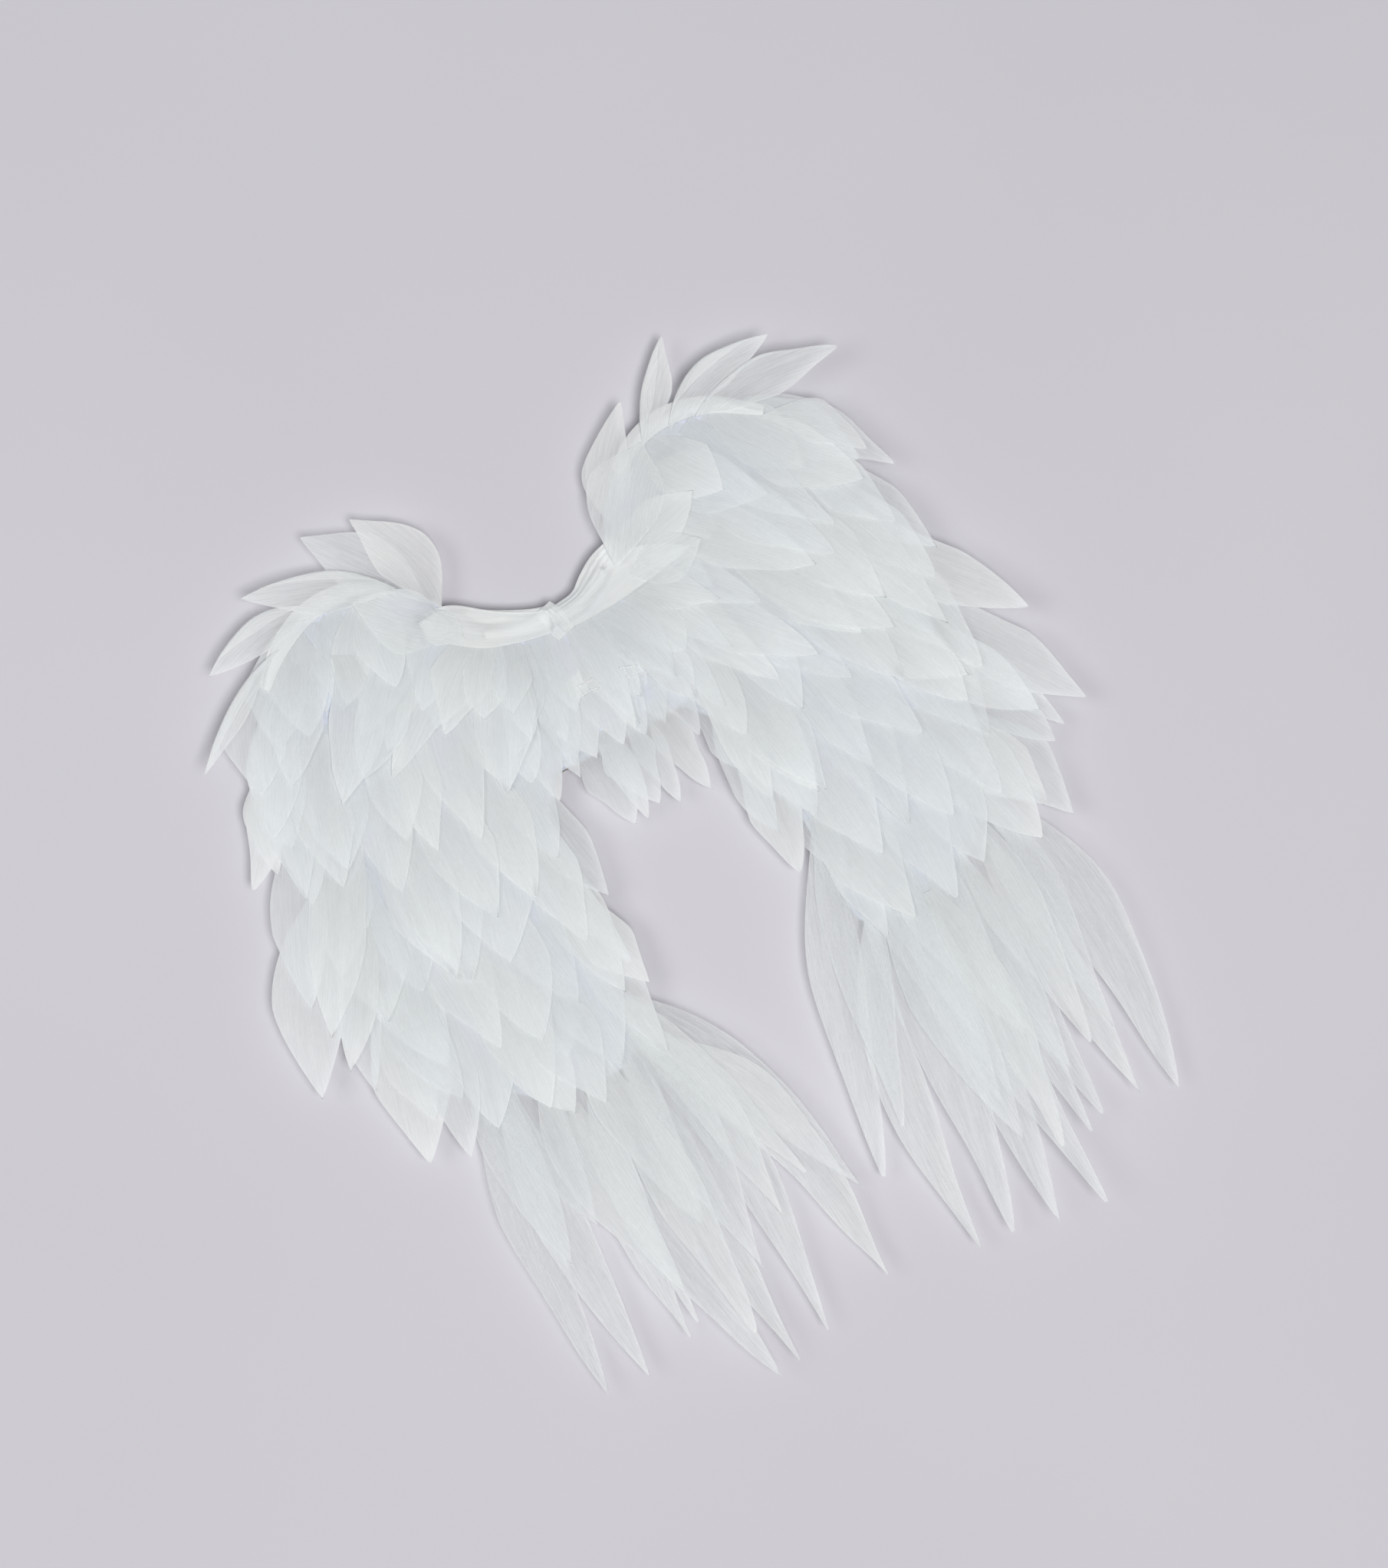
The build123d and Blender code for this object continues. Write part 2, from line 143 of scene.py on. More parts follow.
# %% Crinkled organza
# depth is the strength of painted shade in the colour: darker toward each leaf's root and in soft fold streaks, a
# little brighter at the tip.
def organza(name, tint, dense, shine=0.5, crinkle=1.0, edge=0.10, relief=0.15, depth=0.03, vary=0.12):
    mat, shader = material(name, Roughness=shine, Specular_IOR_Level=0.30, Sheen_Weight=0.15,
                           Sheen_Roughness=0.4)
    grain = node(mat, "ShaderNodeAttribute", attribute_name="grain").outputs["Vector"]
    leaf = node(mat, "ShaderNodeSeparateXYZ",
                {"Vector": node(mat, "ShaderNodeAttribute", attribute_name="leaf").outputs["Vector"]})
    across, along, own = leaf.outputs
    lines = node(mat, "ShaderNodeVectorMath", {0: grain, 1: (1.0, 0.045, 1.0)}, operation="MULTIPLY")
    broad = node(mat, "ShaderNodeTexNoise", {"Vector": lines.outputs[0], "Scale": 0.22, "Detail": 2.0,
                                             "Roughness": 0.55}).outputs["Fac"]
    fine = node(mat, "ShaderNodeTexNoise", {"Vector": lines.outputs[0], "Scale": 1.1, "Detail": 2.0,
                                            "Roughness": 0.6, "Distortion": 0.2}).outputs["Fac"]
    weave = node(mat, "ShaderNodeTexWave", {"Vector": grain, "Scale": 0.9, "Distortion": 0.6,
                                            "Detail": 1.0}, wave_type="BANDS",
                 bands_direction="DIAGONAL").outputs["Fac"]
    patch = node(mat, "ShaderNodeTexNoise", {"Vector": grain, "Scale": 0.035, "Detail": 2.0}).outputs["Fac"]
    rim = math_node(mat, "POWER", math_node(mat, "ABSOLUTE", across), 22.0)
    root = math_node(mat, "SUBTRACT", 1.0, math_node(mat, "MULTIPLY", along, 4.0), clamp=True)
    streak = math_node(mat, "MULTIPLY_ADD", fine, 0.34 * crinkle,
                       math_node(mat, "MULTIPLY", broad, 0.20 * crinkle))
    cover = math_node(mat, "ADD", streak, dense - 0.27 * crinkle)
    cover = math_node(mat, "MULTIPLY_ADD", weave, 0.04, cover)
    cover = math_node(mat, "MULTIPLY_ADD", patch, 0.12, cover)
    cover = math_node(mat, "MULTIPLY_ADD", own, vary, cover)
    cover = math_node(mat, "MULTIPLY_ADD", along, 0.10, cover)
    cover = math_node(mat, "MULTIPLY_ADD", rim, edge, cover)
    cover = math_node(mat, "MULTIPLY_ADD", root, 0.12, cover, clamp=True)
    cool = tuple(c * s for c, s in zip(tint, (0.985, 0.995, 1.0))) + (1,)
    warm = tuple(c * s for c, s in zip(tint, (1.0, 1.0, 0.995))) + (1,)
    colour = ramp(mat, math_node(mat, "MULTIPLY_ADD", patch, 0.5, math_node(mat, "MULTIPLY", own, 0.5)),
                  (0.3, cool), (0.75, warm))
    # Painted shade: soft lengthwise fold streaks darken the colour where shade would lie in the folds.
    soft = node(mat, "ShaderNodeVectorMath", {0: grain, 1: (1.0, 0.10, 1.0)}, operation="MULTIPLY")
    folds = node(mat, "ShaderNodeTexNoise", {"Vector": soft.outputs[0], "Scale": 0.13, "Detail": 1.0}).outputs["Fac"]
    # Painted shade: the colour darkens toward the leaf's root, where the rows above lie over it, and is a little
    # brighter at the tip. The own term is the leaf's own random tone.
    under = math_node(mat, "SUBTRACT", 1.0, math_node(mat, "MULTIPLY", along, 1.15), clamp=True)
    shade = math_node(mat, "MULTIPLY_ADD", under, -depth * 1.6, 1.0 + 0.45 * depth)
    shade = math_node(mat, "MULTIPLY_ADD", folds, -depth * 0.9, shade)
    shade = math_node(mat, "MULTIPLY_ADD", own, -depth * 0.35, shade, clamp=True)
    colour = node(mat, "ShaderNodeVectorMath", {0: colour, "Scale": shade}, operation="SCALE").outputs[0]
    link(mat, colour, shader.inputs["Base Color"])
    height = math_node(mat, "MULTIPLY_ADD", broad, 0.5, math_node(mat, "MULTIPLY", fine, 0.35))
    bump = node(mat, "ShaderNodeBump", {"Height": height, "Strength": relief,
                                        "Distance": 0.0005})
    link(mat, bump.outputs[0], shader.inputs["Normal"])
    rough = math_node(mat, "MULTIPLY_ADD", fine, 0.2, shine - 0.1)
    link(mat, rough, shader.inputs["Roughness"])
    through = node(mat, "ShaderNodeBsdfTranslucent", {"Color": colour, "Normal": bump.outputs[0]})
    cloth = node(mat, "ShaderNodeMixShader", {0: 0.40, 1: shader.outputs[0], 2: through.outputs[0]})
    gaps = node(mat, "ShaderNodeBsdfTransparent")
    both = node(mat, "ShaderNodeMixShader", {0: cover, 1: gaps.outputs[0], 2: cloth.outputs[0]})
    link(mat, both.outputs[0], mat.node_tree.nodes["Material Output"].inputs["Surface"])
    return mat


# The depth values set the painted shade of each cloth; the band and leading cloth keep the default.
covert_cloth = organza("covert_organza", (0.978, 0.991, 0.997), 0.23, crinkle=0.7, edge=0.03, relief=0.25,
                       depth=0.07, vary=0.26)
primary_cloth = organza("primary_organza", (0.962, 0.977, 0.980), 0.11, crinkle=1.15, edge=0.09,
                        relief=0.25, depth=0.04, vary=0.2)
leading_cloth = organza("leading_organza", (0.975, 0.985, 0.985), 0.22, crinkle=0.9, edge=0.07, relief=0.25)
band_cloth = organza("folded_band_organza", (0.978, 0.984, 0.983), 0.52, crinkle=0.6, edge=0.05, relief=0.2)
print("organza", covert_cloth.name, primary_cloth.name, leading_cloth.name, band_cloth.name)

# %% [markdown]
# ## The leaf pattern
# A maker cuts every feather from one cardboard pattern. Here the pattern is a flat grid, made
# once with the grid primitive. Its x runs from edge to edge and its y from root to tip.
# The copies are then narrowed, bent and waved one by one, so no two of them match.

# %% The pattern that all feathers are cut from
def pattern(name, across, along):
    bpy.ops.mesh.primitive_grid_add(x_subdivisions=across, y_subdivisions=along, size=2)
    grid = bpy.context.object
    grid.name = name
    co = np.array([v.co[:] for v in grid.data.vertices])
    faces = np.array([p.vertices[:] for p in grid.data.polygons])
    bpy.data.objects.remove(grid)
    u, v = co[:, 0], (co[:, 1] + 1) / 2
    return {"u": u.reshape(along + 1, across + 1), "v": v.reshape(along + 1, across + 1),
            "faces": faces}


SHORT_LEAF = pattern("covert_pattern", 14, 28)
LONG_LEAF = pattern("primary_pattern", 14, 46)
FOLDED_LEAF = pattern("folded_pattern", 30, 30)
BAND = pattern("band_pattern", 26, 60)
print("pattern points", SHORT_LEAF["u"].shape, LONG_LEAF["u"].shape)

# %% [markdown]
# ## Reading the sewing plan
# Each row of feathers is one CAD node with one loose solid for each feather. Splitting the node
# into its loose parts gives the plan back: the root, the tip, the width and the height of both
# ends. The tip is the end where the solid is narrow. Reading the plan from the model keeps the
# cloth where the CAD says, and nothing has to be typed in twice.

# %% Find every feather of a row
def loose_parts(name):
    mesh = bmesh.new()
    mesh.from_mesh(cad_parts[name].data)
    bmesh.ops.remove_doubles(mesh, verts=mesh.verts, dist=2e-5)
    left, parts = set(mesh.verts), []
    while left:
        stack, part = [left.pop()], []
        while stack:
            vert = stack.pop()
            part.append(vert.co[:])
            for edge in vert.link_edges:
                other = edge.other_vert(vert)
                if other in left:
                    left.remove(other)
                    stack.append(other)
        parts.append(np.array(part))
    mesh.free()
    return parts


def read_leaf(points):
    plan = points[:, :2]
    gaps = np.linalg.norm(plan[:, None] - plan[None], axis=2)
    i, j = np.unravel_index(gaps.argmax(), gaps.shape)
    axis = (plan[j] - plan[i]) / gaps[i, j]
    side = np.array([-axis[1], axis[0]])
    run, off = (plan - plan[i]) @ axis, (plan - plan[i]) @ side
    near, far = run < 0.03 * run.max(), run > 0.97 * run.max()
    if np.ptp(off[near]) < np.ptp(off[far]):
        near, far = far, near
    root, tip = points[near].mean(0), points[far].mean(0)
    axis = (tip - root)[:2] / np.linalg.norm((tip - root)[:2])
    off = (plan - root[:2]) @ np.array([-axis[1], axis[0]])
    return {"root": root, "tip": tip, "width": np.ptp(off)}


def read_row(name):
    row = [read_leaf(part) for part in loose_parts(name)]
    return sorted(row, key=lambda leaf: (leaf["root"][2] + leaf["tip"][2]).round(5))


for check in ("left_lower_primaries", "yoke_upper_feathers"):
    first = read_row(check)[0]
    print(check, len(read_row(check)), "feathers, one of width", round(first["width"] / MM, 1), "mm")

# %% [markdown]
# ## Laying cloth on cloth
# Real feathers rest on each other. A cloth simulation of some hundred and sixty leaves would be
# slow, so a height map does the same work: it remembers how high the pile is at every point.
# Each new leaf is dropped onto the pile, smoothed so that it bridges the dips as stiff organza
# does, and then added to the map. Rows are laid in sewing order, from the primaries up.

# %% The pile of cloth
CELL = 1.5 * MM
PILE_LOW = np.array([cad_box[0][0], cad_box[0][1]]) - 0.03
PILE_SHAPE = tuple(np.ceil((np.array([cad_box[1][0], cad_box[1][1]]) + 0.03 - PILE_LOW) / CELL).astype(int))
pile = np.zeros(PILE_SHAPE)


def pile_height(x, y):
    gx = np.clip((x - PILE_LOW[0]) / CELL, 0, PILE_SHAPE[0] - 1.001)
    gy = np.clip((y - PILE_LOW[1]) / CELL, 0, PILE_SHAPE[1] - 1.001)
    i, j = gx.astype(int), gy.astype(int)
    fx, fy = gx - i, gy - j
    return ((pile[i, j] * (1 - fx) + pile[i + 1, j] * fx) * (1 - fy)
            + (pile[i, j + 1] * (1 - fx) + pile[i + 1, j + 1] * fx) * fy)


def finer(grid, times=3):
    rows, cols = grid.shape
    r, c = np.linspace(0, rows - 1, rows * times), np.linspace(0, cols - 1, cols * times)
    i, j = np.minimum(r.astype(int), rows - 2), np.minimum(c.astype(int), cols - 2)
    fr, fc = (r - i)[:, None], (c - j)[None]
    return ((grid[i][:, j] * (1 - fr) + grid[i + 1][:, j] * fr) * (1 - fc)
            + (grid[i][:, j + 1] * (1 - fr) + grid[i + 1][:, j + 1] * fr) * fc)


def add_to_pile(x, y, z):
    x, y, z = finer(x), finer(y), finer(z)
    i = np.clip(((x - PILE_LOW[0]) / CELL + 0.5).astype(int), 0, PILE_SHAPE[0] - 1)
    j = np.clip(((y - PILE_LOW[1]) / CELL + 0.5).astype(int), 0, PILE_SHAPE[1] - 1)
    np.maximum.at(pile, (i, j), z)


def soften(grid):
    wide = np.pad(grid, 1, mode="edge")
    return (wide[1:-1, 1:-1] * 2 + wide[:-2, 1:-1] + wide[2:, 1:-1]
            + wide[1:-1, :-2] + wide[1:-1, 2:]) / 6


def rest_on_pile(x, y, least, gap, stiff):
    need = np.maximum(pile_height(x, y) + gap, least)
    z = need.copy()
    for _ in range(stiff):
        z = np.maximum(need, soften(z))
    return z


print("pile of", PILE_SHAPE, "cells")

# %% [markdown]
# ## The ground under the cloth
# Nothing may sink into the felt, so the pile starts at the felt and not at zero. A ray is sent
# down on to each CAD plate and each row tape from every cell, and a little is added for the edge
# tape that laps over it. The two fold webs are level strips, so they are added by their place.

# %% Raise the pile to the felt
GROUND = {"yoke_felt": 0.34, "left_wing_felt": 0.34, "right_wing_felt": 0.34,
          "yoke_row_tapes": 0.14, "left_row_tapes": 0.14, "right_row_tapes": 0.14}
for node_name, rise in GROUND.items():
    surface = bmesh.new()
    surface.from_mesh(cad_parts[node_name].data)
    below = BVHTree.FromBMesh(surface)
    surface.free()
    low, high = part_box(node_name)
    first = ((np.array(low[:2]) - PILE_LOW) / CELL).astype(int)
    last = ((np.array(high[:2]) - PILE_LOW) / CELL).astype(int) + 2
    for i in range(first[0], last[0]):
        for j in range(first[1], last[1]):
            start = Vector((PILE_LOW[0] + i * CELL, PILE_LOW[1] + j * CELL, 0.05))
            hit = below.ray_cast(start, Vector((0, 0, -1)))[0]
            if hit is not None:
                pile[i, j] = max(pile[i, j], hit.z + rise * MM)
cell_x = np.abs(PILE_LOW[0] + np.arange(PILE_SHAPE[0]) * CELL)[:, None]
cell_y = (PILE_LOW[1] + np.arange(PILE_SHAPE[1]) * CELL)[None, :]
on_web = (cell_x > 37 * MM) & (cell_x < 53 * MM) & (cell_y > -24 * MM) & (cell_y < 84 * MM)
pile[on_web] = np.maximum(pile[on_web], 4.62 * MM)
for axis in (0, 1):
    for step in (1, -1):
        pile = np.maximum(pile, np.roll(pile, step, axis))
ground = pile.copy()
print("ground", round(ground[ground > 0].min() / MM, 2), "to", round(ground.max() / MM, 2), "mm")

# %% [markdown]
# ## Shaping one feather
# A leaf is widest near its middle and runs out in a point. Then come the small things that make
# it cloth: it leans to one side like a sabre, its middle is domed, its edges wave, and its tip
# lifts. Each of these is one line, with a size in millimetres that is drawn at random around a
# typical value. The random numbers have a fixed seed, so the wings are the same every time.
# Some feathers are folded lengthwise. Past the fold the cloth runs round a small roll and back
# over itself, so that half shows two layers and looks brighter.

# %% Shape a leaf and lay it down
def half_width(v, widest, blunt, root):
    """Share of the full half width: a slow swell up to the widest place, then a spear point."""
    low = root + (1 - root) * np.sin(np.clip(v / widest, 0, 1) * math.pi / 2) ** 1.2
    past = np.clip((v - widest) / (1 - widest), 0, 1)
    return np.where(v < widest, low, (1 - past ** (1.25 * blunt)) ** 0.92)


def roll_over(offset, wide, side, share, radius):
    """Cloth past share of the half width, on one side, turned up and back over itself."""
    past = np.clip(side * offset - share * wide, 0, None)
    turn = np.minimum(past, math.pi * radius)
    beyond = past - turn
    run = np.minimum(side * offset, share * wide) + radius * np.sin(turn / radius) - beyond
    return side * run, radius * (1 - np.cos(turn / radius))


FELT_CELLS = PILE_LOW + np.argwhere(ground > 0) * CELL


def on_felt(root):
    """The place nearest to root where a stitch finds felt, a few millimetres inside its edge."""
    away = np.linalg.norm(FELT_CELLS - root[:2], axis=1)
    if away.min() < CELL:
        return root
    nearest = FELT_CELLS[away.argmin()]
    inward = (nearest - root[:2]) / away.min()
    return np.array([*(nearest + inward * 7 * MM), root[2]])


def lay_leaf(cut, leaf, rng, style):
    u, v = cut["u"], cut["v"]
    root, tip = leaf["root"].copy(), leaf["tip"]
    root[:2] -= (tip - root)[:2] * style.get("back", 0.0)
    sewn = on_felt(root)
    moved = (root - sewn)[:2] / 2
    root = sewn
    run = (tip - root)[:2]
    turn = rng.gauss(0, style.get("turn", 0.0))
    run = np.array([run[0] * math.cos(turn) - run[1] * math.sin(turn),
                    run[0] * math.sin(turn) + run[1] * math.cos(turn)])
    axis = run / np.linalg.norm(run)
    length = np.linalg.norm(run) * rng.uniform(*style.get("reach", (1.0, 1.0)))
    side = np.array([axis[1], -axis[0]])
    half = leaf["width"] / 2 * rng.uniform(*style["wide"])
    wide = half * half_width(v, style["widest"] + rng.uniform(-0.07, 0.07), rng.uniform(0.85, 1.2),
                             style.get("root", 0.5)) + 0.3 * MM
    lean = rng.gauss(0, style["lean"]) * length
    if "bow" in style:
        lean = style["bow"] * length
    lean += float(moved @ side)
    wave = style["wave"] * rng.uniform(0.5, 1.4)
    turns, phase = rng.uniform(1.2, 2.6), rng.uniform(0, 6.28)
    ripple = np.sin(turns * 6.28 * v + phase + 1.1 * u)
    flat = u * wide
    lifted = np.zeros_like(u)
    if "fold" in style:
        which, share = style["fold"]
        radius = np.minimum(1.1 * MM, wide * 0.16)
        flat, lifted = roll_over(flat, wide, which, share, radius)
    x_off = flat + lean * np.sin(math.pi * v ** 0.8) + (0.5 * wave + 0.35 * MM) * ripple * np.abs(u) ** 3
    y_off = v * length
    x = root[0] + axis[0] * y_off + side[0] * x_off
    y = root[1] + axis[1] * y_off + side[1] * x_off
    plane = (root[2] + (tip[2] - root[2]) * v) * style["level"]
    z = rest_on_pile(x, y, plane, style["gap"], style["stiff"])
    dome = style["dome"] * rng.uniform(0.4, 1.5)
    lift = style["lift"] * rng.uniform(0.1, 1.8)
    twist = rng.gauss(0, style["twist"])
    relief = (dome * (1 - u ** 2) * np.sin(math.pi * np.clip(v, 0, 1)) ** 0.6
              + lift * np.clip(v - 0.35, 0, 1) ** 2 * 2.4
              + wave * (0.5 + 0.5 * ripple) * u ** 2 * np.sin(math.pi * v) ** 0.5
              + np.abs(twist) * (1 + np.sign(twist) * u) * v)
    z = z + relief + lifted
    add_to_pile(x, y, z)
    own = rng.random()
    grain = np.stack([u * wide / MM, y_off / MM, np.full_like(u, own * 400)], -1)
    shape = np.stack([u, v, np.full_like(u, own)], -1)
    return np.stack([x, y, z], -1), grain, shape


STYLE = {"wide": (0.90, 1.18), "lean": 0.05, "wave": 0.45 * MM, "level": 0.55, "gap": 0.12 * MM,
         "stiff": 20, "dome": 0.5 * MM, "lift": 0.7 * MM, "twist": 0.4 * MM, "widest": 0.55}
print("a leaf's waves are about", STYLE["wave"] / MM, "mm high")

# %% [markdown]
# ## From leaves to a sewn row
# A row is one piece: its leaves share the thread that holds them. The copies go into one mesh,
# with the two attributes that the organza reads. Solidify then gives the cloth its thickness of
# a fifth of a millimetre and closes the edges, so the row also exists as a solid mesh.

# %% Join the leaves of a row
THICK = 0.2 * MM
flat_sizes = {}


def new_piece(name, points, faces, mat, smooth=True):
    mesh = bpy.data.meshes.new(name)
    mesh.from_pydata(points, [], faces)
    piece = bpy.data.objects.new(name, mesh)
    bpy.context.scene.collection.objects.link(piece)
    mesh.materials.append(mat)
    for polygon in mesh.polygons:
        polygon.use_smooth = smooth
    mesh.update()
    return piece


def apply(piece, kind, **settings):
    bpy.ops.object.select_all(action="DESELECT")
    bpy.context.view_layer.objects.active = piece
    piece.select_set(True)
    step = piece.modifiers.new("step", kind)
    for key, value in settings.items():
        setattr(step, key, value)
    bpy.ops.object.modifier_apply(modifier=step.name)
    piece.select_set(False)


def cloth_area(laid):
    total = 0.0
    for points, _, _ in laid:
        a = points[1:, :-1] - points[:-1, :-1]
        b = points[:-1, 1:] - points[:-1, :-1]
        total += np.linalg.norm(np.cross(a, b), axis=2).sum()
    return float(total)


def sew(name, cut, laid, cloth, length):
    """One closed cloth piece of all the leaves, and its flat size."""
    count = cut["u"].size
    points = np.concatenate([p.reshape(-1, 3) for p, _, _ in laid])
    faces = np.concatenate([cut["faces"] + i * count for i in range(len(laid))])
    row = new_piece(name, points.tolist(), faces.tolist(), cloth)
    for key, column in (("grain", 1), ("leaf", 2)):
        values = np.concatenate([item[column].reshape(-1, 3) for item in laid])
        attribute = row.data.attributes.new(key, "FLOAT_VECTOR", "POINT")
        attribute.data.foreach_set("vector", values.astype(np.float32).ravel())
    if np.mean([p.normal[2] for p in row.data.polygons]) < 0:
        row.data.flip_normals()
    apply(row, "SOLIDIFY", thickness=THICK, offset=-1, use_even_offset=False)
    row.data.set_sharp_from_angle(angle=0.8)
    area = cloth_area(laid)
    width = max(min(area / length / 0.62, 29.0), 0.011)
    flat_sizes[name] = (round(width, 3), round(length, 3))
    return row, (width, length), min(area, width * length)


def longest(leaves):
    return max(float(np.linalg.norm((l["tip"] - l["root"])[:2])) for l in leaves) * 1.05


def plan_leaf(rx, ry, tx, ty, width):
    return {"root": np.array([rx, ry, 8.0]) * MM, "tip": np.array([tx, ty, 10.0]) * MM, "width": width * MM}


def sew_row(node_name, cut, leaves, laid, cloth, body):
    row, flat, area = sew(f"{node_name}_cloth", cut, laid, cloth, longest(leaves))
    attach(row, body)
    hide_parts(node_name)


print("cloth thickness", THICK / MM, "mm")

# %% [markdown]
# ## Sewing the wings
# The rows go down in the order a maker sews them. The long primaries come first and the small
# marginal coverts last. The leading edge waits until the neck band lies in place.

# %% Lay the rows of both wings
ROWS = [
    ("lower_primaries", LONG_LEAF, primary_cloth,
     {"dome": 0.5 * MM, "lift": 1.0 * MM, "wave": 0.9 * MM, "lean": 0.03, "widest": 0.40, "root": 0.25,
      "wide": (0.84, 1.04)}),
    ("upper_primaries", LONG_LEAF, primary_cloth,
     {"dome": 0.5 * MM, "lift": 1.4 * MM, "wave": 0.9 * MM, "lean": 0.03, "widest": 0.42, "root": 0.32,
      "wide": (0.84, 1.08)}),
    ("tertials", SHORT_LEAF, covert_cloth, {"lift": 1.6 * MM}),
    ("secondaries", SHORT_LEAF, covert_cloth, {"back": 0.10}),
    ("greater_coverts", SHORT_LEAF, covert_cloth, {"back": 0.12, "turn": 0.05, "reach": (0.97, 1.10)}),
    ("median_coverts", SHORT_LEAF, covert_cloth, {"back": 0.14, "turn": 0.06, "reach": (0.95, 1.20)}),
    ("lesser_coverts", SHORT_LEAF, covert_cloth, {"back": 0.14, "turn": 0.06, "reach": (0.98, 1.28)}),
    ("marginal_coverts", SHORT_LEAF, covert_cloth,
     {"back": 0.12, "turn": 0.05, "reach": (0.98, 1.22), "root": 0.35}),
]
# Leaves that a maker adds at the end of a row, where the felt still shows
FILLERS = {
    "left_tertials": [(-118, -130, -118, -222, 40), (-74, -90, -57, -168, 32)],
    "left_secondaries": [(-186, -90, -197, -176, 36)],
    "left_lesser_coverts": [(-172, 62, -190, -14, 38), (-150, 54, -166, -24, 36), (-190, 84, -208, 14, 34)],
    "right_tertials": [(60, -60, 62, -152, 36)],
    "right_secondaries": [(186, -40, 211, -132, 40), (80, -34, 88, -124, 40)],
    "right_greater_coverts": [(84, -22, 104, -108, 36), (170, -24, 196, -104, 36)],
    "left_marginal_coverts": [(-96, 130, -108, 78, 34), (-58, 92, -98, 56, 32)],
    "right_lower_primaries": [(90, -130, 42, -326, 42)],
    "right_marginal_coverts": [(106, 142, 132, 86, 36)],
}
rng = random.Random(41)
total = 0
for wing in ("left", "right"):
    for row_name, cut, cloth, change in ROWS:
        leaves = read_row(f"{wing}_{row_name}")
        leaves += [plan_leaf(*numbers) for numbers in FILLERS.get(f"{wing}_{row_name}", [])]
        laid = [lay_leaf(cut, leaf, rng, {**STYLE, **change}) for leaf in leaves]
        sew_row(f"{wing}_{row_name}", cut, leaves, laid, cloth, f"{wing}_wing")
        total += len(leaves)
    print(wing, "wing,", total, "feathers so far")
for row_name in ("fringe_feathers", "middle_feathers"):
    leaves = read_row(f"yoke_{row_name}")
    style = {**STYLE, "wide": (1.15, 1.4), "widest": 0.42}
    laid = [lay_leaf(SHORT_LEAF, leaf, rng, style) for leaf in leaves]
    sew_row(f"yoke_{row_name}", SHORT_LEAF, leaves, laid, covert_cloth, "yoke")
    total += len(leaves)
print(total, "feathers, pile", round(pile.max() / MM, 1), "mm")

# %% [markdown]
# ## Mending patches and thread
# Under the yoke's top row two small squares of felt hold the ends of the wires, tacked down with
# white thread. A thread is a thin tube with six sides that follows the pile a little above it.

# %% Patches and hand stitches
def smooth_path(points, count):
    """Curve through the points, by Catmull and Rom's rule."""
    pts = np.array(points, float)
    pts = np.concatenate([[2 * pts[0] - pts[1]], pts, [2 * pts[-1] - pts[-2]]])
    out = []
    for t in np.linspace(0, len(points) - 1, count):
        i = min(int(t), len(points) - 2)
        f = t - i
        a, b, c, d = pts[i:i + 4]
        out.append(0.5 * (2 * b + (c - a) * f + (2 * a - 5 * b + 4 * c - d) * f ** 2
                          + (3 * b - a - 3 * c + d) * f ** 3))
    return np.array(out)


def tube(path, radius, sides=6):
    """Points and faces of a closed tube along a path."""
    path = np.array(path)
    ahead = np.gradient(path, axis=0)
    ahead /= np.linalg.norm(ahead, axis=1)[:, None]
    up = np.where(np.abs(ahead[:, 2:3]) > 0.9, [[1.0, 0, 0]], [[0, 0, 1.0]])
    right = np.cross(ahead, up)
    right /= np.linalg.norm(right, axis=1)[:, None]
    over = np.cross(right, ahead)
    turn = np.arange(sides) / sides * 2 * math.pi
    ring = right[:, None] * np.cos(turn)[None, :, None] + over[:, None] * np.sin(turn)[None, :, None]
    points = (path[:, None] + radius * ring).reshape(-1, 3).tolist()
    faces = []
    for i in range(len(path) - 1):
        for j in range(sides):
            k = (j + 1) % sides
            faces.append([i * sides + j, (i + 1) * sides + j, (i + 1) * sides + k, i * sides + k])
    faces.append([j for j in range(sides)])
    faces.append([(len(path) - 1) * sides + j for j in reversed(range(sides))])
    return points, faces


def join_parts(name, parts, mat, smooth=True):
    points, faces = [], []
    for part_points, part_faces in parts:
        faces += [[i + len(points) for i in face] for face in part_faces]
        points += list(part_points)
    return new_piece(name, points, faces, mat, smooth)


def on_pile(points, above, count=14):
    path = smooth_path([(x * MM, y * MM, 0) for x, y in points], count)
    path[:, 2] = pile_height(path[:, 0], path[:, 1]) + above
    return path


def thread_material():
    mat, shader = material("white_thread", Roughness=0.6, Sheen_Weight=0.3)
    place = node(mat, "ShaderNodeTexCoord").outputs["Object"]
    twist = node(mat, "ShaderNodeTexWave", {"Vector": place, "Scale": 900.0, "Distortion": 0.5},
                 wave_type="BANDS", bands_direction="DIAGONAL").outputs["Fac"]
    link(mat, ramp(mat, twist, (0.0, (0.80, 0.81, 0.82, 1)), (1.0, (0.95, 0.955, 0.96, 1))),
         shader.inputs["Base Color"])
    return mat


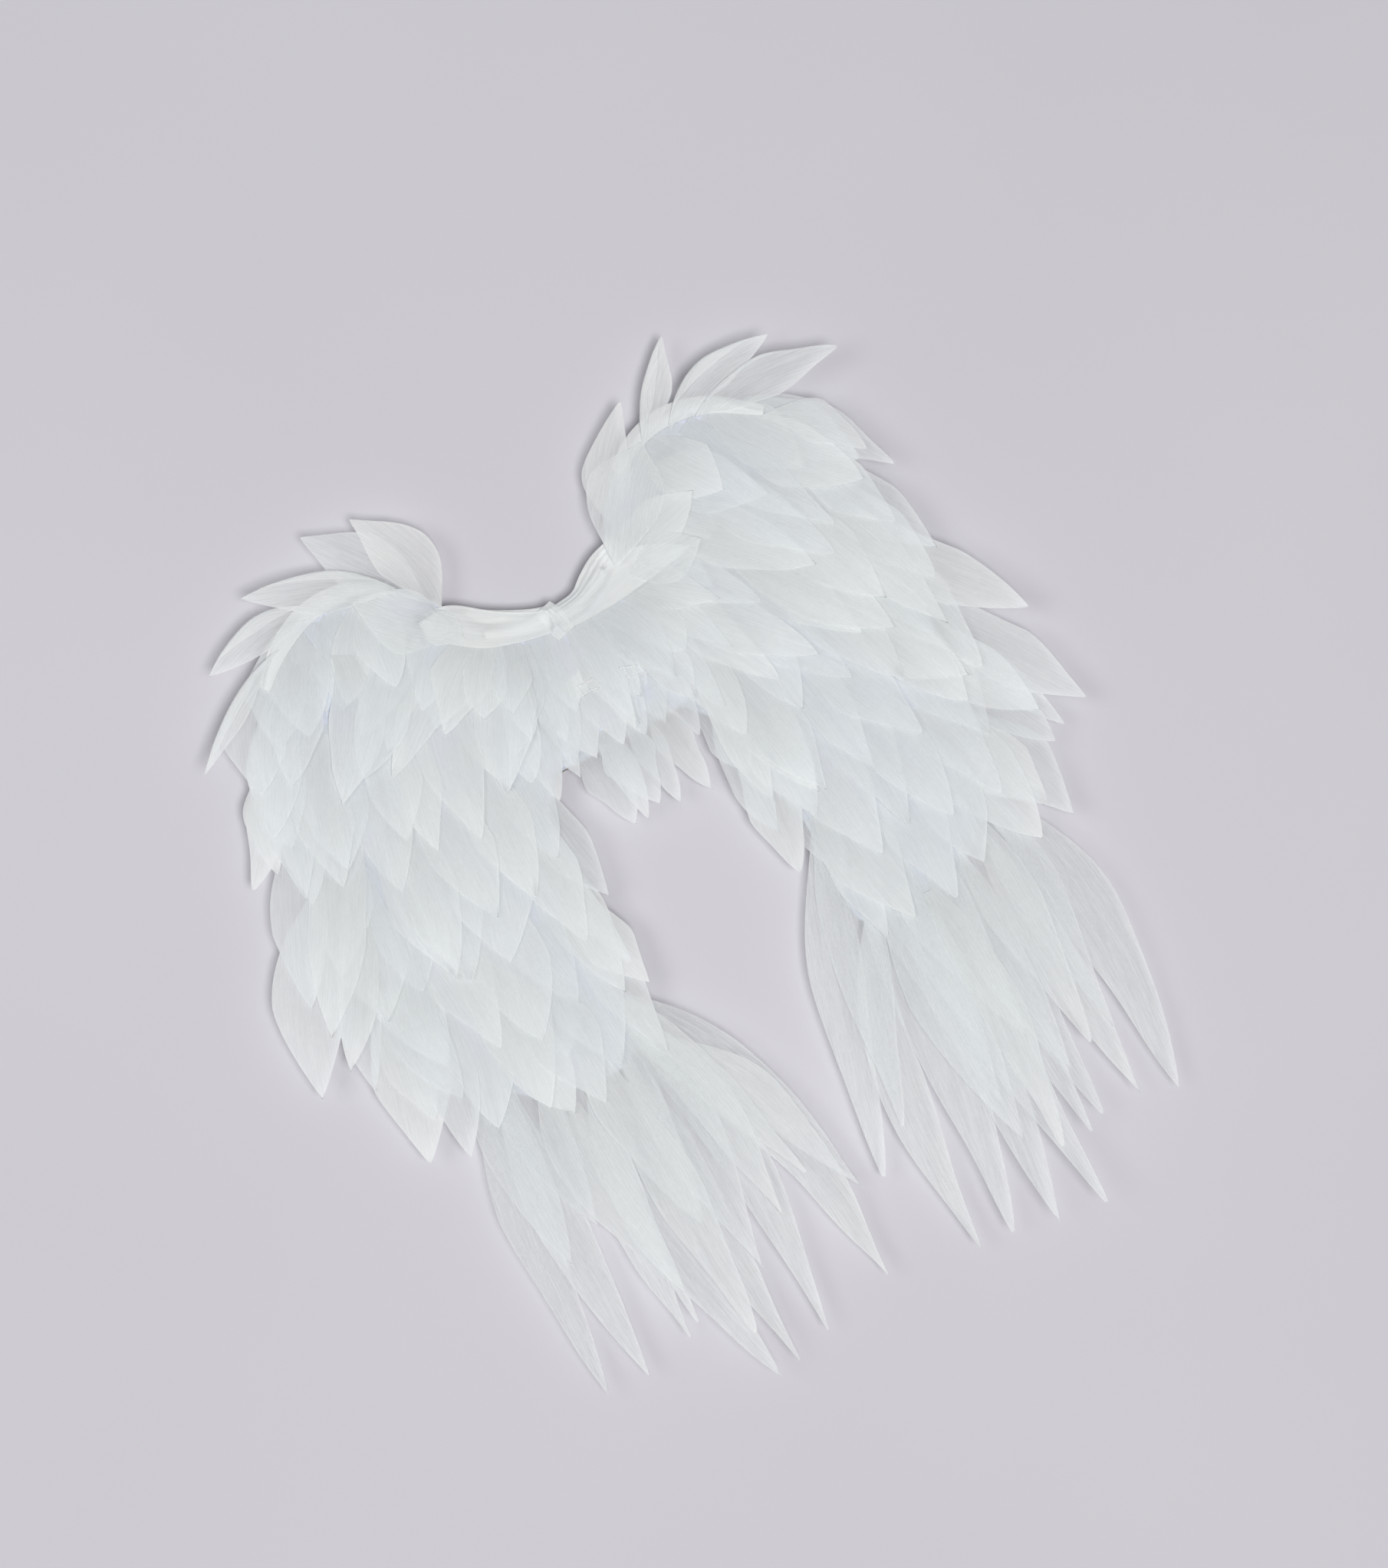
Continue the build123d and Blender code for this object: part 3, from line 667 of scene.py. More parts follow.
thread = thread_material()
patches = []
for x0, y0, x1, y1 in ((-14, 13, -1.5, 27.5), (24.5, 7.5, 35, 21)):
    u, v = SHORT_LEAF["u"], SHORT_LEAF["v"]
    x = ((x0 + x1) / 2 + u * (x1 - x0) / 2 + 0.3 * np.sin(7 * v)) * MM
    y = (y0 + (y1 - y0) * v + 0.8 * u) * MM
    z = rest_on_pile(x, y, 0, 0.4 * MM, 6)
    add_to_pile(x, y, z)
    patches.append((np.stack([x, y, z], -1), np.stack([u * 6, v * 14, u * 0], -1),
                    np.stack([u * 0.9, v, u * 0 + 0.5], -1)))
patch, flat, area = sew("yoke_patches", SHORT_LEAF, patches, band_cloth, 0.0285)
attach(patch, "yoke")
leaves = read_row("yoke_upper_feathers")
leaves += [plan_leaf(-15, 64, -31, -22, 26), plan_leaf(14, 64, 17, -20, 23)]
laid = [lay_leaf(SHORT_LEAF, leaf, rng, STYLE) for leaf in leaves]
sew_row("yoke_upper_feathers", SHORT_LEAF, leaves, laid, covert_cloth, "yoke")
RUNS = [[(-7.5, 20.2), (-3, 19.6), (4.5, 20)], [(-7.5, 13.4), (-2, 14.2), (4.5, 13.2)],
        [(22, 17.6), (26, 16.4), (33, 14)], [(22.5, 10.4), (29, 8.4), (36, 7.2), (42, 6.6)],
        [(-7, 20.5), (-6.6, 13)], [(24.6, 17), (25.2, 9)]]
stitches = join_parts("yoke_stitches", [tube(on_pile(run, 0.3 * MM), 0.34 * MM) for run in RUNS], thread)
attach(stitches, "yoke")
print("patches", len(patches), "threads", len(RUNS))

# %% [markdown]
# ## Feathers across the fold
# The wings fold on the yoke, so the cloth between them must bend. These few feathers start on the
# yoke and end on a wing. Here each piece only has its place baked into its mesh, as the last thing done to it.

# %% Feathers and webs at the fold
FOLD_FEATHERS = {
    "left": [(-38, 22, -52, -38, 24), (-40, 40, -62, -20, 26), (-28, 62, -64, 0, 26),
             (-40, 66, -80, -18, 34), (-34, 52, -50, 4, 20), (-38, 76, -96, 34, 32),
             (-40, 76, -70, 30, 28), (-32, 70, -52, 24, 24)],
    "right": [(36, 62, 43, 2, 24), (38, 20, 47, -44, 22), (37, 36, 56, -22, 26), (46, 80, 118, 95, 27), (44, 74, 100, 26, 26),
              (46, 54, 66, 8, 26), (28, 57, 52, -4, 24)],
}


def across_fold(piece):
    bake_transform(piece)


for wing, plan in FOLD_FEATHERS.items():
    leaves = [plan_leaf(*numbers) for numbers in plan]
    laid = [lay_leaf(SHORT_LEAF, leaf, rng, STYLE) for leaf in leaves]
    row, flat, area = sew(f"{wing}_fold_feathers", SHORT_LEAF, laid, covert_cloth, longest(leaves))
    across_fold(row)
    total += len(leaves)
print("with the fold feathers,", total, "feathers")

# %% [markdown]
# ## The neck band
# The neck edge is finished with folded strips of the same organza. Folded cloth is several layers
# thick, so it is the whitest part. A strip follows a smooth path, and small pleats run along it.
# Its upper edge is rolled over, which gives the soft bright rim of a bias fold.

# %% Folded strips round the neck
def lay_band(name, path, widths, pleats, depth, crown, roll=0.0, cloth=None, gap=0.25):
    cut = BAND
    u, v = cut["u"], cut["v"]
    count = u.shape[0]
    middle = smooth_path([(x * MM, y * MM, 0) for x, y in path], count)
    half = smooth_path([(w * MM / 2, 0, 0) for w in widths], count)[:, 0:1]
    ahead = np.gradient(middle, axis=0)
    ahead /= np.linalg.norm(ahead, axis=1)[:, None]
    side = np.stack([ahead[:, 1], -ahead[:, 0]], -1)
    wide = np.broadcast_to(half, u.shape)
    flat, lifted = u * wide, np.zeros_like(u)
    if roll:
        flat, lifted = roll_over(flat, wide, math.copysign(1, roll), 1 - abs(roll), 0.9 * MM)
    x = middle[:, 0:1] + side[:, 0:1] * flat
    y = middle[:, 1:2] + side[:, 1:2] * flat
    z = rest_on_pile(x, y, 4.4 * MM, gap * MM, 16)
    folds = np.sin(u * math.pi * pleats + 1.6 * np.sin(2.2 * v) + 0.4 * np.sin(9 * v))
    end = np.clip(np.minimum(v, 1 - v) * 9, 0, 1)
    z = z + lifted + depth * MM * (0.5 + 0.5 * folds) * (1 - u ** 4) * end + crown * MM * (1 - u ** 2)
    add_to_pile(x, y, z)
    steps = np.linalg.norm(np.diff(middle, axis=0), axis=1)
    run = np.concatenate([[0], np.cumsum(steps)])
    grain = np.stack([u * wide / MM, np.broadcast_to(run[:, None] / MM, u.shape), u * 0 + len(name) * 9], -1)
    laid = [(np.stack([x, y, z], -1), grain, np.stack([u, v, u * 0 + 0.5], -1))]
    band, size, area = sew(name, cut, laid, cloth or band_cloth, float(run[-1]) * 1.02)
    return band, size, area


def finish_band(made, body=None, wing=None, node_name=None):
    band, flat, area = made
    if node_name:
        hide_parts(node_name)
    if wing:
        across_fold(band)
    else:
        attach(band, body)


finish_band(lay_band("neck_roll", [(-43, 77.5), (-20, 69), (0, 67), (20, 67), (43, 77)], [9, 11, 11, 11, 9],
                     2, 0.4, 2.6), body="yoke", node_name="neck_binding")
finish_band(lay_band("left_neck_pleat", [(-46, 96), (-38, 88), (-22, 78.5), (-8, 73), (4, 71.5)],
                     [5, 9, 10, 9, 6], 5, 0.7, 0.4), wing="left")
finish_band(lay_band("right_neck_pleat", [(5, 69), (20, 70.5), (32, 76), (44, 83), (60, 90)],
                     [8, 10, 15, 15, 10], 4, 0.6, 0.4), wing="right")
finish_band(lay_band("left_neck_wrap", [(-76, 101), (-60, 95), (-42, 82), (-22, 72), (-3, 65.5)],
                     [16, 26, 26, 20, 15], 3, 0.45, 0.9, roll=-0.18), wing="left")
finish_band(lay_band("right_neck_wrap", [(3, 62), (20, 62), (40, 65), (60, 69), (80, 68.5), (99, 65)],
                     [13, 15, 21, 26, 17, 2], 2, 0.35, 0.9, roll=0.16), wing="right")
finish_band(lay_band("neck_centre_wrap", [(3, 53.5), (1.5, 60), (0, 68), (-2, 75.5)], [13, 15, 15, 11],
                     5, 0.4, 0.5, roll=0.1), body="yoke")
rolls = {"left": ([(-84, 133), (-112, 145), (-140, 144), (-166, 131), (-184, 114)], [9, 13, 14, 12, 7]),
         "right": ([(80, 130), (104, 142), (128, 145), (154, 138), (182, 119)], [9, 13, 14, 12, 7])}
for wing, (path, widths) in rolls.items():
    roll, flat, area = lay_band(f"{wing}_top_roll", path, widths, 1, 0.3, 1.2, roll=0.25)
    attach(roll, f"{wing}_wing")
print("neck strips: 6, top rolls: 2")

# %% [markdown]
# ## The leading edge
# The feathers along the top are the ones that people look at first. Most of them are folded and
# bent, so each has its own entry: how far it bows, which side is folded over, and how much its
# tip curls. The entry belongs to the feather whose tip is nearest to the given point.

# %% Leading-edge feathers
LEADING = {
    (-119, 189): {"bow": 0.03}, (-84, 184): {"bow": 0.10}, (-170, 172): {"fold": (1, 0.55), "bow": 0.05},
    (-211, 138): {"fold": (1, 0.35), "bow": 0.15, "lift": 3.0 * MM}, (-243, 84): {"fold": (1, 0.1), "bow": 0.07},
    (-110, 137): {"bow": -0.04}, (-78, 104): {"bow": 0.06}, (147, 192): {"fold": (-1, 0.25), "bow": -0.03},
    (207, 160): {"fold": (-1, 0.4), "bow": -0.12}, (242, 132): {"fold": (-1, 0.7), "bow": -0.05},
    (104, 167): {"bow": -0.08}, (60, 86): {"bow": 0.05, "reach": (1.2, 1.2)}, (228, 66): {"bow": -0.06},
    (108, 65): {"bow": 0.02, "wide": (1.15, 1.15)},
}
for wing in ("left", "right"):
    node_name = f"{wing}_leading_edge_feathers"
    leaves, laid = read_row(node_name), []
    for leaf in leaves:
        tip = leaf["tip"][:2] / MM
        nearest = min(LEADING, key=lambda point: math.dist(point, tip))
        style = {**STYLE, "dome": 1.4 * MM, "lift": 2.6 * MM, "wide": (1.12, 1.22), "widest": 0.48,
                 "root": 0.06, **LEADING[nearest]}
        laid.append(lay_leaf(FOLDED_LEAF, leaf, rng, style))
    sew_row(node_name, FOLDED_LEAF, leaves, laid, leading_cloth, f"{wing}_wing")
    total += len(leaves)
print(total, "feathers in all, pile", round(pile.max() / MM, 1), "mm")

# %% [markdown]
# ## Felt
# Felt has no threads to show, only a soft, cloudy surface with short fibres. The CAD plates are
# flat and sharp, so each one is copied, its rim is rounded, and its face is cut fine enough to
# carry a gentle unevenness. Short runs of noise do that without changing its size.

# %% Felt plates, tapes and tabs
def fibre_material(name, color, rough=0.92, scale=700.0, depth=0.0005, shade=0.90):
    mat, shader = material(name, Roughness=rough, Sheen_Weight=0.35, Sheen_Roughness=0.6)
    place = node(mat, "ShaderNodeTexCoord").outputs["Object"]
    fuzz = node(mat, "ShaderNodeTexNoise", {"Vector": place, "Scale": scale, "Detail": 5.0,
                                            "Roughness": 0.7}).outputs["Fac"]
    cloud = node(mat, "ShaderNodeTexNoise", {"Vector": place, "Scale": 22.0, "Detail": 3.0}).outputs["Fac"]
    mixed = math_node(mat, "MULTIPLY_ADD", fuzz, 0.5, math_node(mat, "MULTIPLY", cloud, 0.5))
    colour = ramp(mat, mixed, (0.3, tuple(c * shade for c in color) + (1,)), (0.7, color + (1,)))
    link(mat, colour, shader.inputs["Base Color"])
    bump = node(mat, "ShaderNodeBump", {"Height": fuzz, "Strength": 0.5, "Distance": depth})
    link(mat, bump.outputs[0], shader.inputs["Normal"])
    return mat


def ribbed_material(name, color, across=1.3, along=0.9):
    """Woven ribs that follow the piece's own run, from the attribute grain in millimetres."""
    mat, shader = material(name, Roughness=0.75, Sheen_Weight=0.3)
    grain = node(mat, "ShaderNodeSeparateXYZ",
                 {"Vector": node(mat, "ShaderNodeAttribute", attribute_name="grain").outputs["Vector"]})
    ribs = math_node(mat, "SINE", math_node(mat, "MULTIPLY", grain.outputs[1], 6.283 / along))
    cords = math_node(mat, "SINE", math_node(mat, "MULTIPLY", grain.outputs[0], 6.283 / across))
    weave = math_node(mat, "MULTIPLY_ADD", math_node(mat, "MULTIPLY", ribs, cords), 0.25, 0.5)
    weave = math_node(mat, "MULTIPLY_ADD", ribs, 0.2, weave)
    link(mat, ramp(mat, weave, (0.1, tuple(c * 0.82 for c in color) + (1,)), (0.8, color + (1,))),
         shader.inputs["Base Color"])
    bump = node(mat, "ShaderNodeBump", {"Height": weave, "Strength": 0.6, "Distance": 0.0003})
    link(mat, bump.outputs[0], shader.inputs["Normal"])
    return mat


def soft_copy(node_name, name, mat, edge, rim, uneven):
    """A soft piece with the size of its CAD solid: rounded rim, fine faces, slight unevenness."""
    mesh = bmesh.new()
    mesh.from_mesh(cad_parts[node_name].data)
    bmesh.ops.remove_doubles(mesh, verts=mesh.verts, dist=1e-5)
    bmesh.ops.dissolve_limit(mesh, angle_limit=0.02, verts=mesh.verts, edges=mesh.edges)
    sharp = [e for e in mesh.edges if len(e.link_faces) == 2 and e.calc_face_angle(0) > 0.9]
    bmesh.ops.bevel(mesh, geom=sharp, offset=rim, segments=2, profile=0.6, affect="EDGES")
    bmesh.ops.triangulate(mesh, faces=mesh.faces)
    for _ in range(7):
        long_edges = [e for e in mesh.edges if e.calc_length() > edge]
        if not long_edges:
            break
        bmesh.ops.subdivide_edges(mesh, edges=long_edges, cuts=1)
        bmesh.ops.triangulate(mesh, faces=mesh.faces)
    for vert in mesh.verts:
        vert.co.z += uneven * noise.noise(vert.co * 55.0)
    made = bpy.data.meshes.new(name)
    mesh.to_mesh(made)
    mesh.free()
    piece = bpy.data.objects.new(name, made)
    bpy.context.scene.collection.objects.link(piece)
    made.materials.append(mat)
    for polygon in made.polygons:
        polygon.use_smooth = True
    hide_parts(node_name)
    return piece


base_felt = fibre_material("base_felt", (0.59, 0.62, 0.70))
cotton = fibre_material("cotton_tape", (0.60, 0.63, 0.70), scale=1200.0, depth=0.0003)
FELT_PLATES = {"yoke_felt": ("yoke_base", "yoke"), "left_wing_felt": ("left_wing_base", "left_wing"),
               "right_wing_felt": ("right_wing_base", "right_wing")}
for node_name, (name, body) in FELT_PLATES.items():
    low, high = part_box(node_name)
    plate = soft_copy(node_name, name, base_felt, 9 * MM, 0.25 * MM, 0.08 * MM)
    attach(plate, body)
    flat = (high[0] - low[0], high[1] - low[1])
    flat_sizes[name] = tuple(round(v, 3) for v in flat)
for node_name, body in (("yoke_row_tapes", "yoke"), ("left_row_tapes", "left_wing"),
                        ("right_row_tapes", "right_wing")):
    tape = soft_copy(node_name, f"{node_name}_cotton", cotton, 12 * MM, 0.08 * MM, 0.04 * MM)
    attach(tape, body)

# %% [markdown]
# ## Strips on the underside
# The elastic loops, the webbing tabs, the bias tape round the felt and the fold webs are all flat
# strips. One helper bends a section along a path and stores how far along each point lies, so
# the woven ribs follow every curve.

# %% A closed strip along a path
def strip(path, section, closed=False):
    """Points, faces and grain of a closed section carried along a level path."""
    path = np.array(path)
    ahead = np.roll(path, -1, 0) - np.roll(path, 1, 0) if closed else np.gradient(path, axis=0)
    ahead /= np.linalg.norm(ahead, axis=1)[:, None]
    right = np.stack([ahead[:, 1], -ahead[:, 0]], -1)
    right /= np.maximum(np.linalg.norm(right, axis=1), 1e-9)[:, None]
    section = np.array(section)
    count = len(section)
    points = np.zeros((len(path), count, 3))
    points[..., 0] = path[:, None, 0] + right[:, None, 0] * section[None, :, 0]
    points[..., 1] = path[:, None, 1] + right[:, None, 1] * section[None, :, 0]
    points[..., 2] = path[:, None, 2] + section[None, :, 1]
    run = np.concatenate([[0], np.cumsum(np.linalg.norm(np.diff(path, axis=0), axis=1))])
    around = np.broadcast_to(section[None, :, 0], points.shape[:2])
    grain = np.stack([around / MM, np.broadcast_to(run[:, None], around.shape) / MM, around * 0], -1)
    faces = []
    for i in range(len(path) if closed else len(path) - 1):
        k = (i + 1) % len(path)
        for j in range(count):
            m = (j + 1) % count
            faces.append([i * count + j, i * count + m, k * count + m, k * count + j])
    if not closed:
        faces.append([j for j in reversed(range(count))])
        faces.append([(len(path) - 1) * count + j for j in range(count)])
    return points.reshape(-1, 3), faces, grain.reshape(-1, 3)


def strip_piece(name, parts, mat):
    points, faces, grain = [], [], []
    for p, f, g in parts:
        faces += [[i + len(points) for i in face] for face in f]
        points += p.tolist()
        grain += g.tolist()
    piece = new_piece(name, points, faces, mat)
    attribute = piece.data.attributes.new("grain", "FLOAT_VECTOR", "POINT")
    attribute.data.foreach_set("vector", np.array(grain, np.float32).ravel())
    mesh = bmesh.new()
    mesh.from_mesh(piece.data)
    bmesh.ops.recalc_face_normals(mesh, faces=mesh.faces)
    mesh.to_mesh(piece.data)
    mesh.free()
    return piece


def flat_section(width, thick, bulge=0.0):
    """Closed outline of a flat strip with round edges and slightly raised selvedges."""
    w, t = width / 2, thick / 2
    top = [(-w, 0), (-w + t * 0.6, t), (-w * 0.55, t * (1 - bulge)), (w * 0.0, t * (1 - bulge)),
           (w * 0.55, t * (1 - bulge)), (w - t * 0.6, t), (w, 0)]
    return top + [(x, -z) for x, z in reversed(top[1:-1])]


print("a strip's section has", len(flat_section(1, 0.1)), "corners")

# %% [markdown]
# ## Shoulder loops
# Each shoulder loop is one length of flat elastic that leaves the tabs, turns round and comes
# back. Its path is read from the box of the CAD strap, so the loop stays where the joint is.

# %% Elastic loops
elastic = ribbed_material("woven_elastic", (0.86, 0.865, 0.87))
for wing, side in (("left", -1), ("right", 1)):
    low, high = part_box(f"{wing}_strap")
    inner = min(abs(low[0]), abs(high[0]))
    outer, top_y, low_y = max(abs(low[0]), abs(high[0])), high[1], low[1]
    width, bend = 14 * MM, (top_y - low_y) / 2 - 7 * MM
    far, mid_y = outer - bend - width / 2, (top_y + low_y) / 2
    turn = np.linspace(math.pi / 2, -math.pi / 2, 40)
    path = [(x, mid_y + bend) for x in np.linspace(inner, far, 14)[:-1]]
    path += [(far + bend * math.cos(a), mid_y + bend * math.sin(a)) for a in turn]
    path += [(x, mid_y - bend) for x in np.linspace(far, inner, 14)[1:]]
    z = (low[2] + high[2]) / 2
    path = [(side * x, y, z + 0.1 * MM * math.sin(x * 90)) for x, y in path]
    band = strip_piece(f"{wing}_elastic_loop", [strip(path, flat_section(width, high[2] - low[2] - 0.25 * MM, 0.35))],
                       elastic)
    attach(band, f"{wing}_strap")
    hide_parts(f"{wing}_strap")
    flat_sizes[band.name] = (0.014, 0.25)

print("loops", 2)

# %% [markdown]
# ## Webbing tabs
# A tab is a short piece of cotton webbing folded in two round the end of the elastic. The path
# goes out along the top, turns round a half circle and comes back below.

# %% Webbing tabs
webbing = ribbed_material("cotton_webbing", (0.80, 0.805, 0.80), across=1.6, along=1.6)
tabs = []
for part in loose_parts("strap_tabs"):
    low, high = part.min(0), part.max(0)
    y, half_t = (low[1] + high[1]) / 2, (high[2] - low[2]) / 4
    end = 1 if low[0] > 0 else -1
    start, tip = (low[0], high[0]) if end > 0 else (high[0], low[0])
    around = np.linspace(math.pi / 2, -math.pi / 2, 9)
    path = [(x, (high[2] - half_t)) for x in np.linspace(start, tip - end * half_t, 6)[:-1]]
    path += [(tip - end * half_t + end * half_t * math.cos(a), (low[2] + high[2]) / 2 + half_t * math.sin(a))
             for a in around]
    path += [(x, low[2] + half_t) for x in np.linspace(tip - end * half_t, start, 6)[1:]]
    path = np.array(path)
    ahead = np.gradient(path, axis=0)
    ahead /= np.linalg.norm(ahead, axis=1)[:, None]
    out = np.stack([-ahead[:, 1], ahead[:, 0]], -1) * 0.38 * MM
    run = np.concatenate([[0], np.cumsum(np.linalg.norm(np.diff(path, axis=0), axis=1))]) / MM
    points, grain, faces = [], [], []
    ys = [(-6.9, 0.4), (-6.6, 1.0), (6.6, 1.0), (6.9, 0.4), (6.6, -1.0), (-6.6, -1.0)]
    for p, o, r in zip(path, out, run):
        for dy, s in ys:
            points.append((p[0] + o[0] * s, y + dy * MM, p[1] + o[1] * s))
            grain.append((dy, r, 0))
    for i in range(len(path) - 1):
        for j in range(6):
            m = (j + 1) % 6
            faces.append([i * 6 + j, i * 6 + m, (i + 1) * 6 + m, (i + 1) * 6 + j])
    faces += [list(range(6)), [(len(path) - 1) * 6 + j for j in range(6)]]
    tabs.append((np.array(points), faces, np.array(grain)))
tab_piece = strip_piece("webbing_tabs", tabs, webbing)
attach(tab_piece, "yoke")
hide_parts("strap_tabs")
flat_sizes["webbing_tabs"] = (0.014, 0.075)


print("tabs", len(tabs))

# %% [markdown]
# ## Edge tape
# Felt frays at a cut edge, so a maker binds it with bias tape. The plan outline of each CAD plate
# is read from its own edges, and a folded section with two laps runs round it.

# %% Edge tape round the felt
bias = ribbed_material("bias_tape", (0.60, 0.63, 0.71), across=0.8, along=0.8)


def rim_of(node_name, step):
    """Evenly spaced points round the plan outline of a CAD plate."""
    mesh = bmesh.new()
    mesh.from_mesh(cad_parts[node_name].data)
    bmesh.ops.remove_doubles(mesh, verts=mesh.verts, dist=1e-5)
    top = max(v.co.z for v in mesh.verts)
    ahead = {}
    for edge in mesh.edges:
        if all(abs(v.co.z - top) < 1e-5 for v in edge.verts):
            if any(abs(f.normal.z) < 0.5 for f in edge.link_faces):
                a, b = edge.verts
                ahead.setdefault(a, []).append(b)
                ahead.setdefault(b, []).append(a)
    start = next(iter(ahead))
    loop, last, here = [start], None, start
    while True:
        following = [v for v in ahead[here] if v is not last][0]
        last, here = here, following
        if here is start:
            break
        loop.append(here)
    points = np.array([v.co[:2] for v in loop])
    mesh.free()
    closed = np.concatenate([points, points[:1]])
    run = np.concatenate([[0], np.cumsum(np.linalg.norm(np.diff(closed, axis=0), axis=1))])
    at = np.linspace(0, run[-1], int(run[-1] / step), endpoint=False)
    return np.stack([np.interp(at, run, closed[:, 0]), np.interp(at, run, closed[:, 1])], -1)


for node_name, (name, body) in FELT_PLATES.items():
    low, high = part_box(node_name)
    rim = rim_of(node_name, 3.2 * MM)
    centre = rim.mean(0)
    area = 0.5 * np.sum(rim[:, 0] * np.roll(rim[:, 1], -1) - np.roll(rim[:, 0], -1) * rim[:, 1])
    inward = -1 if area > 0 else 1
    z = (low[2] + high[2]) / 2
    path = [(x, y, z) for x, y in rim]
    half = (high[2] - low[2]) / 2
    lap, out, cloth = 4.2 * MM, 0.35 * MM, 0.28 * MM
    section = [(lap, half), (lap, half + cloth), (0.3 * MM, half + cloth), (-out, 0.3 * half),
               (-out, -0.3 * half), (0.3 * MM, -half - cloth), (lap, -half - cloth), (lap, -half),
               (0.1 * MM, -half), (0.1 * MM, half)]
    section = [(inward * x, dz) for x, dz in section]
    tape = strip_piece(f"{name}_edge_tape", [strip(path, section, closed=True)], bias)
    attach(tape, body)
    length = len(rim) * 3.2 * MM
    flat_sizes[tape.name] = (0.011, round(length, 3))

print("edge tapes", len(FELT_PLATES))

# %% [markdown]
# ## Fold webs
# A web of felt covers each fold line and joins the yoke to a wing. It is cut fine across its
# width, because that is the way it must bend.

# %% Fold webs
for wing, side in (("left", -1), ("right", 1)):
    path = [(side * 45 * MM, y * MM, 4.36 * MM) for y in np.linspace(-22.5, 83, 46)]
    xs = np.linspace(-6.5, 6.5, 14) * MM
    section = [(x, 0.2 * MM) for x in xs] + [(x, -0.2 * MM) for x in reversed(xs)]
    web = strip_piece(f"{wing}_fold_web", [strip(path, section)], base_felt)
    flat_sizes[web.name] = (0.013, 0.106)
    across_fold(web)
print("strips done:", len(flat_sizes), "sheets so far")

# %% [markdown]
# ## The back pad
# A thin foam pad keeps the wires off the wearer's back. It is a box of foam in a cotton cover,
# quilted in diamonds so that the foam doesn't shift, with a piped edge. The quilting is a sum of
# two crossed waves that presses the lower face in along the seams.

# %% Quilted back pad
low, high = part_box("back_pad_cover")
bpy.ops.object.select_all(action="DESELECT")
bpy.ops.mesh.primitive_grid_add(x_subdivisions=84, y_subdivisions=104, size=2)
pad = bpy.context.object
pad.name = "quilted_back_pad"
bpy.ops.object.select_all(action="DESELECT")
size_x, size_y = (high[0] - low[0]) / 2, (high[1] - low[1]) / 2
mid_x, mid_y = (high[0] + low[0]) / 2, (high[1] + low[1]) / 2
coords = np.array([v.co[:] for v in pad.data.vertices])
px, py = coords[:, 0], coords[:, 1]
corner = 9 * MM
ax, ay = np.abs(px) * size_x, np.abs(py) * size_y
cx, cy = np.maximum(ax - (size_x - corner), 0), np.maximum(ay - (size_y - corner), 0)
reach = np.hypot(cx, cy)
most = np.maximum(cx, cy)
shrink = np.where(reach > 0, most / np.maximum(reach, 1e-9), 1)
ax = np.where(cx > 0, size_x - corner + cx * shrink, ax)
ay = np.where(cy > 0, size_y - corner + cy * shrink, ay)
gap_in = np.minimum(corner - np.hypot(np.maximum(ax - (size_x - corner), 0), np.maximum(ay - (size_y - corner), 0)),
                    np.minimum(size_x - ax, size_y - ay))
edge_in = np.clip(gap_in / (5 * MM), 0, 1)
sx, sy = np.sign(px) * ax, np.sign(py) * ay
seam = np.minimum(np.abs(np.sin((sx + sy) / MM * math.pi / 15)), np.abs(np.sin((sx - sy) / MM * math.pi / 15)))
puff = np.sqrt(np.clip(edge_in * (2 - edge_in), 0, 1)) * (0.45 + 0.55 * np.clip(seam * 1.6, 0, 1) ** 0.5)
top_z = high[2] - 0.12 * MM
under = top_z - 0.9 * MM - (top_z - low[2] - 0.95 * MM) * puff
count = len(coords)
lower = np.stack([mid_x + sx, mid_y + sy, under], -1)
upper = np.stack([mid_x + sx, mid_y + sy, np.full(count, top_z)], -1)
quads = [list(p.vertices) for p in pad.data.polygons]
bpy.data.objects.remove(pad)
columns, rows = 85, 105
border = list(range(columns)) + [columns * r + columns - 1 for r in range(1, rows)]
border += list(range(columns * rows - 2, columns * (rows - 1) - 1, -1))
border += [columns * r for r in range(rows - 2, 0, -1)]
faces = [q[::-1] for q in quads] + [[i + count for i in q] for q in quads]
faces += [[a, b, b + count, a + count] for a, b in zip(border, border[1:] + border[:1])]
cover = fibre_material("pad_cotton", (0.82, 0.83, 0.86), rough=0.85, scale=1500.0, depth=0.0002)
pad = new_piece("quilted_back_pad", np.concatenate([lower, upper]).tolist(), faces, cover)
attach(pad, "yoke")
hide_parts("back_pad_cover", "back_pad_foam")
ring = rim_of("back_pad_cover", 2.5 * MM)
ring = mid_x * np.array([1, 0]) + mid_y * np.array([0, 1]) + (ring - [mid_x, mid_y]) * 0.985
piping = [(x, y, high[2] - 1.3 * MM) for x, y in ring] + [(ring[0][0], ring[0][1], high[2] - 1.3 * MM)]
pipe = join_parts("pad_piping", [tube(piping, 0.55 * MM, 8)], cotton)
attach(pipe, "yoke")
print("pad faces", len(pad.data.polygons))

# %% [markdown]
# ## Wire, sleeves and the stitches that hold them
# The frame wire is wrapped in white cotton, like the wire that florists use. Brass sleeves are
# crimped over its ends. Whip stitches hold it to the felt every two centimetres. They are the
# only visible joint on the underside, so they are worth modelling one by one.

